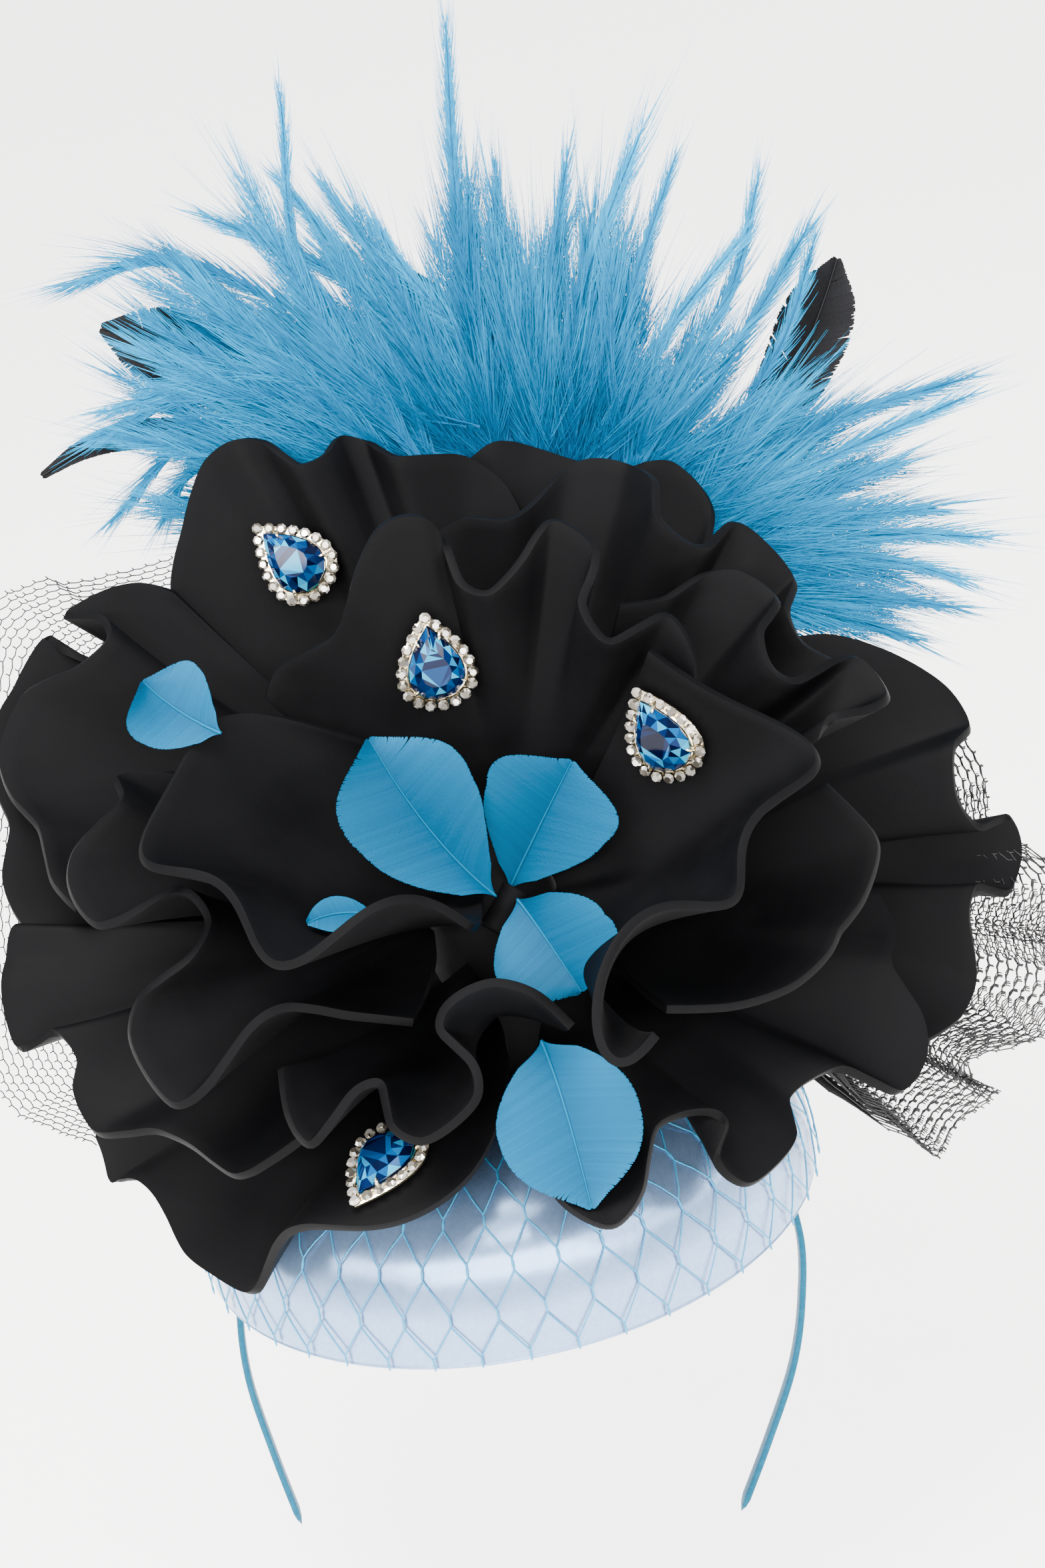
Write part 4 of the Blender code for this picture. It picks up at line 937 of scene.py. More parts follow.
def tubes(paths, radii, sides):
    """Points and faces of round strands along paths (strand, station, 3), with a radius for each station."""
    along = unit(np.gradient(paths, axis=1))
    reference = np.broadcast_to(np.array([0.31, 0.52, 0.79]), along.shape)
    across = unit(np.cross(along, reference))
    above = np.cross(along, across)
    turns = np.linspace(0, math.tau, sides, endpoint=False)
    ring = across[..., None, :] * np.cos(turns)[:, None] + above[..., None, :] * np.sin(turns)[:, None]
    points = paths[..., None, :] + ring * radii[..., None, None]
    count, stations = paths.shape[:2]
    index = np.arange(count * stations * sides).reshape(count, stations, sides)
    low, high = index[:, :-1], index[:, 1:]
    faces = np.stack([low, np.roll(low, -1, axis=2), np.roll(high, -1, axis=2), high], axis=-1)
    return points.reshape(-1, 3), faces.reshape(-1, 4)


def ribbons(paths, halves):
    """Points and faces of flat strands: paths (strand, station, 3), and half widths of the same shape."""
    points = np.stack([paths - halves, paths + halves], axis=2)
    count, stations = paths.shape[:2]
    index = np.arange(count * stations * 2).reshape(count, stations, 2)
    low, high = index[:, :-1], index[:, 1:]
    faces = np.stack([low[..., 0], low[..., 1], high[..., 1], high[..., 0]], axis=-1)
    return points.reshape(-1, 3), faces.reshape(-1, 4)


def merged(parts):
    """One set of points and faces from several."""
    points, faces, start = [], [], 0
    for some_points, some_faces in parts:
        points.append(some_points)
        faces.append(some_faces + start)
        start += len(some_points)
    return np.concatenate(points), np.concatenate(faces)


def set_values(piece, name, values):
    """Stores one number for each point of a piece, for its finish to read."""
    attribute = piece.data.attributes.new(name, "FLOAT", "POINT")
    attribute.data.foreach_set("value", np.asarray(values, dtype=np.float32))


def stands_before(point, petals):
    """Whether a petal is seen behind a point."""
    away = (Vector(point) - EYE).normalized()
    return any(tree.ray_cast(Vector(point), away)[0] is not None for tree in petals)


def plume_strands(spine, breadth, fullness, tone, vane, chance, petals):
    """Barbs, vane and quill of one soft feather along its spine (station, 3), and a shade for each point."""
    length = np.linalg.norm(np.diff(spine, axis=0), axis=1).sum()
    tangents = unit(np.gradient(spine, axis=0))
    parts, shades = [], []
    count = int(length / BARB_SPACING)
    for side in (-1, 1):
        start = np.linspace(0.10, 0.995, count) + chance.normal(0, 0.004, count)
        start = np.clip(start[chance.random(count) < fullness], 0.05, 0.999)
        base = curve_array(spine, start)
        along = unit(curve_array(tangents, start))
        aside = unit(np.cross(along, np.array(TOWARD))) * side
        above = np.cross(along, aside)
        half = breadth / 2 * np.interp(start, *BARB_LENGTHS)
        half *= chance.uniform(0.45, 1.2, len(start))
        lean = np.maximum(np.radians(28 - 13 * start) + chance.normal(0, 0.09, len(start)), LEAST_LEAN)
        tilt = chance.normal(0, 0.55, len(start))
        out = aside * np.cos(tilt)[:, None] + above * np.sin(tilt)[:, None]
        reach = (half / np.sin(lean))[:, None, None]
        share = np.linspace(0, 1, BARB_POINTS)[None, :, None]
        bend = chance.normal(0, 0.10, len(start))[:, None, None]
        forward = along[:, None] * np.cos(lean)[:, None, None] * (share + 0.18 * share ** 2)
        outward = out[:, None] * np.sin(lean)[:, None, None] * (share - 0.22 * share ** 2)
        paths = base[:, None] + reach * (forward + outward + above[:, None] * bend * share ** 2)
        clear = np.array([not any(stands_before(point, petals) for point in path[-2:]) for path in paths])
        paths, start, along, out, lean = paths[clear], start[clear], along[clear], out[clear], lean[clear]
        across = unit(along * np.sin(lean)[:, None] - out * np.cos(lean)[:, None])
        taper = np.interp(np.linspace(0, 1, BARB_POINTS), *BARB_TAPER)
        widths = np.interp(start, (0.0, 0.4, 1.0), BARB_WIDTHS)[:, None] * taper[None]
        parts.append(ribbons(paths, across[:, None] * widths[..., None]))
        # Barbs pale toward the feather's tip and toward their own ends, and darken at its foot: painted light
        # through thin tips and painted shade in the dense heart, over a random tone.
        shade = tone + 0.5 * start[:, None] + 0.2 * chance.random(len(start))[:, None]
        shade = shade + np.linspace(0, 0.25, BARB_POINTS)[None]
        shades.append(np.repeat(shade.ravel(), 2))
    line = np.linspace(0, 1, len(spine))
    half = breadth * vane[0] * np.interp(line, *vane[1:])
    parts.append(ribbons(spine[None], (unit(np.cross(tangents, np.array(TOWARD))) * half[:, None])[None]))
    # The vane pales toward its tip, painted light through it, and is deep at its foot, painted shade.
    shades.append(np.repeat(tone + 0.75 * line, 2))
    radii = QUILL_RADIUS * np.linspace(1, 0.25, len(spine)) ** 0.8
    radii[[0, -1]] = POINTED
    parts.append(tubes(spine[None], radii[None], 4))
    shades.append(np.full(len(parts[-1][0]), FEATHER_QUILL_SHADE))
    points, faces = merged(parts)
    return points, faces, np.concatenate(shades)


def seen_place(point):
    """Where a point is seen, and how many millimetres it stands towards the eye."""
    away = Vector(point) - EYE
    depth = -away.dot(TOWARD)
    seen_x = PICTURE_MIDDLE[0] + away.dot(ACROSS) / depth * FOCAL_UNITS
    seen_y = PICTURE_MIDDLE[1] - away.dot(UP) / depth * FOCAL_UNITS
    return seen_x, seen_y, (EYE_DEPTH - depth) / MM


def fan_depths(grid, places):
    """The depth of the fan at seen places, blended from the points of its guide."""
    known = np.array([seen_place(point) for point in grid.reshape(-1, 3)])
    gaps = ((places[:, None, :2] - known[None, :, :2]) ** 2).sum(axis=2) + 400
    weights = 1 / gaps ** 1.5
    return (weights * known[None, :, 2]).sum(axis=1) / weights.sum(axis=1)


def feather_spine(grid, route, layer, petals):
    """A feather's spine through seen places, at the fan's depth plus its own layer, and behind the petals."""
    seen = curve_array(np.array(route, dtype=float), np.linspace(0, 1, STATIONS))
    depths = fan_depths(grid, seen) + layer
    room = np.full(STATIONS, 99.0)
    for index, (x, y) in enumerate(seen):
        away = (sight_point(x, y, 0) - EYE).normalized()
        for tree in petals:
            hit = tree.ray_cast(EYE, away)[0]
            if hit is not None:
                room[index] = min(room[index], seen_place(hit)[2] - PLUME_CLEARANCE)
    blocked = room < depths
    if blocked.any():
        least = (room - depths)[blocked].min()
        last = np.nonzero(blocked)[0].max()
        ease = np.interp(np.arange(STATIONS), (last, min(last + 8, STATIONS)), (1, 0.3))
        depths = depths + least * ease
    return np.array([list(sight_point(x, y, depth)) for (x, y), depth in zip(seen, depths)])


def plume_quills(grid, feet):
    """Bare quills that run from the foot of the flower to where each feather opens."""
    root = np.array(PLUME_ROOT[:2], dtype=float)
    share = np.linspace(0, 1, QUILL_STATIONS)[:, None]
    paths = []
    for foot in feet:
        seen_x, seen_y, depth = seen_place(foot)
        places = root + (np.array([seen_x, seen_y]) - root) * share
        depths = fan_depths(grid, places)
        depths = depths + (depth - depths[-1]) * share[:, 0]
        paths.append([list(sight_point(x, y, level)) for (x, y), level in zip(places, depths)])
    radii = np.full((len(paths), QUILL_STATIONS), QUILL_RADIUS)
    radii[:, [0, -1]] = POINTED
    return tubes(np.array(paths), radii, 4)


def make_plume(grid, finish, trees):
    """The plume: long feathers that reach its tips, over a thick bed of shorter ones."""
    chance = np.random.default_rng(11)
    petals = [trees["guide_" + name] for name in ("petal_upper_left", "petal_back_top", "petal_right")]
    groups = {name: [] for name in ("left", "middle", "right", *BED_GROUPS)}
    feet = []
    for route in LONG_FEATHERS:
        *places, breadth, fullness = route
        spine = feather_spine(grid, places, chance.uniform(-3, 3), petals)
        tip_x = places[-1][0]
        group = "left" if tip_x < 500 else "middle" if tip_x < 1130 else "right"
        tone = chance.uniform(*LONG_TONES)
        groups[group].append(plume_strands(spine, breadth * MM, fullness, tone, LONG_VANE, chance, petals))
    line = np.array([place[:2] for place in PLUME_LINE], dtype=float)
    tips = np.array([(lock.tip_x, lock.tip_y) for lock in LOCKS], dtype=float)
    for share in np.concatenate([np.linspace(*span) for span in FLUFF_SPANS]):
        share = float(np.clip(share + chance.normal(0, 0.02), 0, 1))
        foot = curve_array(line, [share])[0]
        tip = curve_array(tips, [share])[0]
        reach = chance.uniform(*FLUFF_REACH) * np.interp(share, *FLUFF_FULLNESS)
        foot = foot + (np.array(PLUME_HEART) - foot) * chance.uniform(0.25, 0.85)
        end = foot + (tip - foot) * reach + chance.normal(0, 14, 2)
        bend = (foot + end) / 2 + chance.normal(0, 14, 2)
        spine = feather_spine(grid, (foot, bend, end), chance.uniform(-5, 5), petals)
        feet.append(spine[0])
        group = BED_GROUPS[min(int(share * 4), 3)]
        tone = chance.uniform(*BED_TONES)
        strands = plume_strands(spine, FLUFF_BREADTH * MM, FLUFF_DENSITY, tone, BED_VANE, chance, petals)
        groups[group].append(strands)
    for name, feathers in groups.items():
        points, faces = merged([feather[:2] for feather in feathers])
        piece = add_mesh("plume_" + name, points, faces)
        set_values(piece, "shade", np.concatenate([feather[2] for feather in feathers]))
        finish_piece(piece, "plume", [finish], "plume")
    points, faces = plume_quills(grid, feet)
    piece = add_mesh("plume_quills", points, faces)
    set_values(piece, "shade", np.full(len(points), BARE_QUILL_SHADE))
    finish_piece(piece, "plume", [finish], "plume")


def on_blade(spine, border, out, at):
    """Points at shares along a blade, each some share of the way out from its quill to its border."""
    quill = curve_array(spine, at.ravel()).reshape(*at.shape, 3)
    edge = curve_array(border, at.ravel()).reshape(*at.shape, 3)
    return quill + (edge - quill) * out[..., None]


def make_blade(name, grid, finish, slot, spacing, sweep, rag, quill_radius):
    """A trimmed feather: close barbs from its quill to the cut outline of its blade."""
    chance = np.random.default_rng(sum(ord(letter) for letter in name))
    bare = 1 / (len(grid) - 1) if len(grid) > BLADE_STATIONS else 0.0
    along = np.linspace(0, 1, BLADE_DETAIL)
    dense = curve_array(grid, along)
    tip_fullness, breadth = BLADE_SHAPES.get(name.removesuffix("_blade"), (0.0, 1.0))
    fuller = breadth + tip_fullness * np.interp(along, (0.6, 0.9, 1.0), (0, 1, 1))
    dense[:, ::2] = dense[:, 1:2] + (dense[:, ::2] - dense[:, 1:2]) * fuller[:, None, None]
    spine = dense[:, 1]
    length = np.linalg.norm(np.diff(spine, axis=0), axis=1).sum()
    count = int(length * (1 - bare) / spacing)
    share = np.linspace(0, 1, BLADE_ACROSS)
    parts, shades = [], []
    for edge in (0, 2):
        start = np.linspace(bare, 0.985, count) + chance.normal(0, 0.0015, count)
        start = np.clip(start, 0, 0.99)
        cut = 1 - rag * chance.random(count) ** 3
        place = start[:, None] + sweep * share[None] * (1 - 0.75 * start[:, None])
        place = np.clip(place, 0, 0.999)
        blade = (spine, dense[:, edge], share[None] * cut[:, None])
        paths = on_blade(*blade, place)
        after = on_blade(*blade, np.clip(place + BLADE_AHEAD, 0, 1))
        before = on_blade(*blade, np.clip(place - BLADE_AHEAD, 0, 1))
        ahead = unit(after - before)
        barbs = unit(np.gradient(paths, axis=1))
        flat = unit(ahead - barbs * (ahead * barbs).sum(axis=-1, keepdims=True))
        paths = paths + np.cross(barbs, flat) * chance.normal(0, 0.00002, count)[:, None, None]
        widths = spacing * np.interp(share, (0, 0.9, 1), (1.2, 1.1, 0.6))
        parts.append(ribbons(paths, flat * widths[None, :, None]))
        shade = chance.uniform(0, 1, count)[:, None] * 0.2 + share[None] * 0.6
        shades.append(np.repeat(shade.ravel(), 2))
    radii = quill_radius * np.linspace(1, 0.3, len(spine))
    radii[[0, -1]] = POINTED
    parts.append(tubes((spine + np.array(TOWARD) * quill_radius * 0.6)[None], radii[None], 6))
    shades.append(np.full(len(parts[-1][0]), BLADE_QUILL_SHADE))
    points, faces = merged(parts)
    piece = add_mesh(name, points, faces)
    set_values(piece, "shade", np.concatenate(shades))
    return finish_piece(piece, slot, [finish], name.removesuffix("_blade"))


def make_petals(grids, finishes):
    """Foam petals with smooth ruffles and a cut edge."""
    for sheet in (*BACK_PETALS, *MIDDLE_PETALS, *INNER_PETALS):
        fine = fine_sheet(grids[sheet.name], FINE_TURN * (len(sheet.turns) - 1), FINE_RIBS)
        piece = add_grid(sheet.name + "_foam", fine)
        # The rims take the second, lighter foam finish: partly cut edge, partly painted highlight.
        add_skin(piece, PETAL_THICKNESS).material_offset_rim = 1
        round_edges(piece, PETAL_BEVEL, 2)
        apply_all(piece)
        piece.data.shade_smooth()
        finish_piece(piece, "foam", finishes, sheet.name)


def make_cap(finish, lining):
    """The pillbox: satin drawn smoothly over a stiff base, with a plain lining."""
    angles = np.linspace(0, math.tau, CAP_FINE_STEPS + 1)
    outline = [(CAP_RADIUS * r, CAP_HEIGHT * h) for r, h in CAP_PROFILE]
    profile = curve_array(np.array(outline), np.linspace(0, 1, CAP_FINE_RIBS + 1))
    profile = np.minimum(profile, (CAP_RADIUS, CAP_HEIGHT))
    points = np.empty((CAP_FINE_STEPS + 1, CAP_FINE_RIBS + 1, 3))
    points[..., 0] = np.cos(angles)[:, None] * profile[None, :, 0]
    points[..., 1] = np.sin(angles)[:, None] * profile[None, :, 0]
    points[..., 2] = profile[None, :, 1]
    cap = add_grid("cap_satin", points)
    close_seams(cap)
    add_skin(cap, CAP_WALL, -1).material_offset = 1
    round_edges(cap, CAP_BEVEL, 3)
    apply_all(cap)
    cap.data.shade_smooth()
    return finish_piece(cap, "satin", [finish, lining], "cap")


def make_veil(finish):
    """The veiling: thin strands in tall diamonds that meet in long knots, close over the satin."""
    strands, radii = [], []
    step = math.tau / VEIL_FINE_COLUMNS
    stations = np.linspace(0, 1, VEIL_STRAND_STEPS)
    for level in range(VEIL_FINE_LEVELS + 1):
        share = VEIL_FOOT + (VEIL_TOP - VEIL_FOOT) * level / VEIL_FINE_LEVELS
        for column in range(VEIL_FINE_COLUMNS):
            angle = (column + level / 2) * step
            levels = [min(share + KNOT_HALF * side, 0.99) for side in (-1, -0.3, 0.3, 1)]
            route = [cap_surface(part, angle, VEIL_SURFACE) for part in levels]
            strands.append(curve_array(np.array(route), stations))
            radii.append(np.interp(stations, (0, 0.5, 1), KNOT_RADII))
            if level == VEIL_FINE_LEVELS:
                continue
            after = VEIL_FOOT + (VEIL_TOP - VEIL_FOOT) * (level + 1) / VEIL_FINE_LEVELS
            for turn in (-0.5, 0.5):
                route = []
                for part in stations:
                    height = share + KNOT_HALF + (after - share - 2 * KNOT_HALF) * part
                    route.append(cap_surface(height, angle + turn * step * part, VEIL_SURFACE))
                strands.append(np.array(route))
                radii.append(np.full(VEIL_STRAND_STEPS, VEIL_RADIUS))
    points, faces = tubes(np.array(strands), np.array(radii), 4)
    return finish_piece(add_mesh("veil_strands", points, faces), "veil", [finish], "veil")


def on_sheet(fine, at):
    """Points of a fine sheet at shares (place, 2) of its columns and ribs."""
    x = at[:, 0] * (fine.shape[0] - 1)
    y = at[:, 1] * (fine.shape[1] - 1)
    i, j = np.minimum(x.astype(int), fine.shape[0] - 2), np.minimum(y.astype(int), fine.shape[1] - 2)
    s, t = (x - i)[:, None], (y - j)[:, None]
    return (
        fine[i, j] * (1 - s) * (1 - t) + fine[i + 1, j] * s * (1 - t)
        + fine[i, j + 1] * (1 - s) * t + fine[i + 1, j + 1] * s * t
    )


def make_net(name, grid, finish, layer):
    """A fan of tulle: six-sided cells of thin strands over a pleated sheet."""
    fine = fine_sheet(grid, FINE_TURN * (len(grid) - 1), NET_RIBS)
    wide = np.linalg.norm(np.diff(fine[:, NET_WIDTH_RIB], axis=0), axis=1).sum()
    deep = np.linalg.norm(np.diff(fine, axis=1), axis=2).sum(axis=1).mean()
    normals = unit(np.cross(np.gradient(fine, axis=0), np.gradient(fine, axis=1)))
    u = np.linspace(0, 1, len(fine))
    pleats = np.sin(u * math.tau * (9 + 4 * layer) + layer) + 0.5 * np.sin(u * math.tau * (21 + 3 * layer))
    rise = np.linspace(0, 1, fine.shape[1]) ** 1.4
    fine = fine + normals * (pleats[:, None] * rise[None] * PLEAT_DEPTH + layer * LAYER_GAP)[..., None]
    columns = int(wide / NET_CELL)
    rows = int(deep / (NET_CELL * 0.866))
    column, row = np.meshgrid(np.arange(columns), np.arange(rows), indexing="ij")
    left = (column + 0.5 * (row % 2)) / (columns + 0.5)
    low = row / rows
    third = 1 / (3 * rows)
    right = (column + 1 + 0.5 * (row % 2)) / (columns + 0.5)
    stem = np.stack([left, low + third], axis=-1)
    stem_top = np.stack([left, low + 2 * third + third * 0.4], axis=-1)
    dip = np.stack([(left + right) / 2, low + third * 0.4], axis=-1)
    next_stem = np.stack([right, low + third], axis=-1)
    pairs = ((stem, stem_top), (stem, dip), (dip, next_stem))
    ends = np.concatenate([np.stack(pair, axis=-2).reshape(-1, 2, 2) for pair in pairs])
    ends = np.clip(ends, 0, 1)
    paths = np.stack([on_sheet(fine, ends[:, 0]), on_sheet(fine, ends[:, 1])], axis=1)
    radii = np.full(paths.shape[:2], NET_RADIUS)
    points, faces = tubes(paths, radii, 3)
    return finish_piece(add_mesh(f"{name}_layer_{layer}", points, faces), "net", [finish], name)


def make_band(finish):
    """The hairband: a flat covered strip with rounded edges and closed tips."""
    route = np.array([list(place) for place in band_route()])
    line = curve_array(route, np.linspace(0, 1, BAND_FINE_STEPS + 1))
    along = unit(np.gradient(line, axis=0))
    wide = np.array([0.0, 1.0, 0.0])
    thick = unit(np.cross(along, wide))
    around = np.linspace(0, math.tau, 21)
    flat = np.sign(np.cos(around)) * np.abs(np.cos(around)) ** 0.45 * BAND_WIDTH / 2
    high = np.sign(np.sin(around)) * np.abs(np.sin(around)) ** 0.7 * BAND_THICKNESS / 2
    ends = np.minimum(np.arange(BAND_FINE_STEPS + 1), np.arange(BAND_FINE_STEPS + 1)[::-1])
    taper = np.sqrt(np.clip(ends / 2, 0, 1))[:, None, None]
    ring = wide * flat[:, None] + thick[:, None, :] * high[:, None]
    points = line[:, None] + ring * np.maximum(taper, 0.001)
    points = points @ np.array(BAND_LIE).T + np.array(BAND_TOP)
    band = add_grid("headband_ribbon", points)
    close_seams(band, 0.000008)
    band.data.shade_smooth()
    return finish_piece(band, "ribbon", [finish], "headband")


def make_heart(trees, finish):
    """The foot of the flower, and the small roll of foam that closes its heart."""
    angles = np.linspace(0, math.tau, 49)
    foot = CAP_HEIGHT + SEAT_GAP
    outline = [(CORE_RADIUS * r, foot + (CORE_TOP - foot) * h) for r, h in CORE_PROFILE]
    outline = np.array([(0.0, foot), *outline])
    profile = np.concatenate([outline[:1], curve_array(outline[1:], np.linspace(0, 1, 21))])
    points = np.empty((49, len(profile), 3))
    points[..., 0] = np.cos(angles)[:, None] * profile[None, :, 0] + CORE_MIDDLE.x
    points[..., 1] = np.sin(angles)[:, None] * profile[None, :, 0] + CORE_MIDDLE.y
    points[..., 2] = profile[None, :, 1]
    core = add_grid("heart_foot", points)
    close_seams(core)
    core.data.shade_smooth()
    finish_piece(core, "foam", finish[:1], "flower_core")
    ends = []
    for x, y in ROLL_ENDS:
        away = (sight_point(x, y, 0) - EYE).normalized()
        hits = [tree.ray_cast(EYE, away)[0] for tree in trees.values()]
        nearest = max((seen_place(hit)[2] for hit in hits if hit is not None), default=60)
        ends.append(np.array(sight_point(x, y, nearest + ROLL_LIFT)))
    axis = unit(ends[1] - ends[0])
    across = unit(np.cross(axis, np.array(TOWARD)))
    above = np.cross(across, axis)
    turns = np.linspace(0, ROLL_TURNS * math.tau, 61)
    radii = np.interp(turns, (0, turns[-1]), ROLL_RADII)
    line = np.linspace(0, 1, 13)
    flare = 1 + 0.25 * (line - 0.4) ** 2
    ring = across * np.cos(turns)[:, None] + above * np.sin(turns)[:, None]
    points = ends[0] + (ends[1] - ends[0]) * line[None, :, None]
    points = points + ring[:, None] * radii[:, None, None] * flare[None, :, None]
    roll = add_grid("heart_roll", points)
    # The roll's rims take the lighter foam finish: partly cut edge, partly painted highlight.
    add_skin(roll, ROLL_THICKNESS).material_offset_rim = 1
    apply_all(roll)
    roll.data.shade_smooth()
    finish_piece(roll, "foam", finish, "flower_core")


def drop_by_length(size, count):
    """Places spaced evenly along the outline of a drop."""
    corners = np.array(drop_outline(size, 240))
    closed = np.concatenate([corners, corners[:1]])
    lengths = np.concatenate([[0], np.cumsum(np.linalg.norm(np.diff(closed, axis=0), axis=1))])
    wanted = np.arange(count) / count * lengths[-1]
    return np.stack([np.interp(wanted, lengths, closed[:, axis]) for axis in range(2)], axis=1)


def set_facets(piece, values):
    attribute = piece.data.attributes.new("facet", "FLOAT", "FACE")
    attribute.data.foreach_set("value", np.asarray(values, dtype=np.float32))


def join_pieces(pieces):
    select(*pieces)
    bpy.ops.object.join()
    return bpy.context.active_object


def make_stone(number, place, finish):
    """A drop-cut stone: a table, two rows of crown facets and a girdle."""
    chance = np.random.default_rng(50 + number)
    count = 16
    foot = PLATE_THICKNESS + SEAT_GAP
    girdle = np.array(drop_outline(STONE_SIZE, count))
    half = (girdle + np.roll(girdle, -1, axis=0)) / 2
    made = bmesh.new()
    tiers = []
    for corners, (share, rise) in zip((girdle, girdle, half, girdle), STONE_TIERS):
        tiers.append([made.verts.new((*(corner * share), foot + rise)) for corner in corners])
    low, belt, crown, table = tiers
    made.faces.new(table)
    made.faces.new(reversed(low))
    for index in range(count):
        after = (index + 1) % count
        made.faces.new((low[index], low[after], belt[after], belt[index]))
        made.faces.new((belt[index], belt[after], crown[index]))
        made.faces.new((crown[index], belt[after], crown[after]))
        made.faces.new((crown[index], table[after], table[index]))
        made.faces.new((crown[index], crown[after], table[after]))
    bmesh.ops.triangulate(made, faces=[face for face in made.faces if len(face.verts) == count])
    bmesh.ops.recalc_face_normals(made, faces=made.faces)
    bmesh.ops.transform(made, matrix=place, verts=made.verts)
    name = f"brooch_{number}_cut"
    stone = add_object(name, mesh_of(made, name))
    # Random brightness for each facet: painted reflections and glints over the stone's blue.
    set_facets(stone, chance.uniform(0, 1, len(stone.data.polygons)) ** 1.3)
    return finish_piece(stone, "stone", [finish], f"brooch_{number}_stone")


def make_setting(number, place, gilt, crystal):
    """A drop plate with a rim round the stone, four claws, and a halo of small crystals."""
    chance = np.random.default_rng(80 + number)
    outline = np.array(drop_outline(SETTING_SIZE, 48))
    plate = add_stack("plate", [[(x * share, y * share, z) for x, y in outline] for share, z in PLATE_TIERS])
    stone_line = np.array(drop_outline(STONE_SIZE, 48)) * 1.03
    rim_path = np.column_stack([stone_line, np.full(48, PLATE_THICKNESS + 0.0004)])
    rim_path = np.concatenate([rim_path, rim_path[:1]])
    rim = add_mesh("rim", *tubes(rim_path[None], np.full((1, 49), RIM_RADIUS), 6))
    claws = []
    for share in CLAW_PLACES:
        corner = stone_line[int(share * 48)]
        route = np.array([(*(corner * reach), PLATE_THICKNESS + rise) for reach, rise in CLAW_ROUTE])
        path = curve_array(route, np.linspace(0, 1, 9))
        radii = np.linspace(0.00055, 0.00035, 9)
        radii[[0, -1]] = POINTED
        claws.append(add_mesh("claw", *tubes(path[None], radii[None], 8)))
    metal = join_pieces([plate, rim, *claws])
    metal.data.materials.clear()
    metal.data.materials.append(gilt)
    bpy.ops.object.shade_smooth_by_angle(angle=math.radians(40))
    crystals = []
    for x, y in drop_by_length(HALO_SIZE, HALO_FINE_STONES):
        rings = []
        for share, height in ((0.9, 0.0006), (1.0, 0.0011), (0.58, 0.0018 + chance.uniform(-0.0001, 0.0001))):
            turns = np.linspace(0, math.tau, 8, endpoint=False) + chance.uniform(0, 0.5)
            radius = HALO_RADIUS * share
            level = PLATE_THICKNESS - 0.0003 + height
            ring = [(x + radius * math.cos(turn), y + radius * math.sin(turn), level) for turn in turns]
            rings.append(ring)
        crystals.append(add_stack("crystal", rings))
    halo = join_pieces(crystals)
    halo.data.materials.clear()
    halo.data.materials.append(crystal)
    # Random grey for each crystal facet: painted sparkle.
    set_facets(halo, chance.uniform(0, 1, len(halo.data.polygons)))
    for piece, name in ((metal, f"brooch_{number}_metal"), (halo, f"brooch_{number}_halo")):
        piece.data.transform(place)
        piece.data.update()
        piece.name = piece.data.name = name
    finish_piece(metal, "gilt", [gilt], f"brooch_{number}_setting")
    finish_piece(halo, "gilt", [crystal], f"brooch_{number}_setting")


def new_finish(name, roughness, metallic=0.0, **fixed):
    """An empty finish with its shader, and the values that are the same all over set on its sockets."""
    made = bpy.data.materials.new(name)
    made.use_nodes = True
    shader = made.node_tree.nodes["Principled BSDF"]
    shader.inputs["Roughness"].default_value = roughness
    shader.inputs["Metallic"].default_value = metallic
    for socket, value in fixed.items():
        shader.inputs[socket.replace("_", " ")].default_value = value
    return made, made.node_tree, shader


def add_node(tree, kind, links=(), **values):
    """A node with its inputs set by name, and links from (output) sockets to its inputs."""
    node = tree.nodes.new(kind)
    for name, value in values.items():
        node.inputs[name.replace("_", " ")].default_value = value
    for name, output in links:
        tree.links.new(output, node.inputs[name])
    return node


def ramp(tree, value, stops):
    node = tree.nodes.new("ShaderNodeValToRGB")
    elements = node.color_ramp.elements
    while len(elements) < len(stops):
        elements.new(0.5)
    for element, (place, colour) in zip(elements, stops):
        element.position = place
        element.color = (*colour, 1)
    tree.links.new(value, node.inputs["Fac"])
    return node.outputs["Color"]


def grain_group():
    """Fine surface grain: a value that varies from point to point, and the normal that it gives."""
    group = bpy.data.node_groups.new("surface_grain", "ShaderNodeTree")
    for name, kind, side in (
        ("Vector", "NodeSocketVector", "INPUT"), ("Scale", "NodeSocketFloat", "INPUT"),
        ("Strength", "NodeSocketFloat", "INPUT"), ("Value", "NodeSocketFloat", "OUTPUT"),
        ("Normal", "NodeSocketVector", "OUTPUT"),
    ):
        group.interface.new_socket(name=name, in_out=side, socket_type=kind)
    start = group.nodes.new("NodeGroupInput")
    end = group.nodes.new("NodeGroupOutput")
    noise = group.nodes.new("ShaderNodeTexNoise")
    noise.inputs["Detail"].default_value = 3
    bump = group.nodes.new("ShaderNodeBump")
    bump.inputs["Distance"].default_value = 0.0003
    group.links.new(start.outputs["Vector"], noise.inputs["Vector"])
    group.links.new(start.outputs["Scale"], noise.inputs["Scale"])
    group.links.new(start.outputs["Strength"], bump.inputs["Strength"])
    group.links.new(noise.outputs["Fac"], bump.inputs["Height"])
    group.links.new(noise.outputs["Fac"], end.inputs["Value"])
    group.links.new(bump.outputs["Normal"], end.inputs["Normal"])
    return group


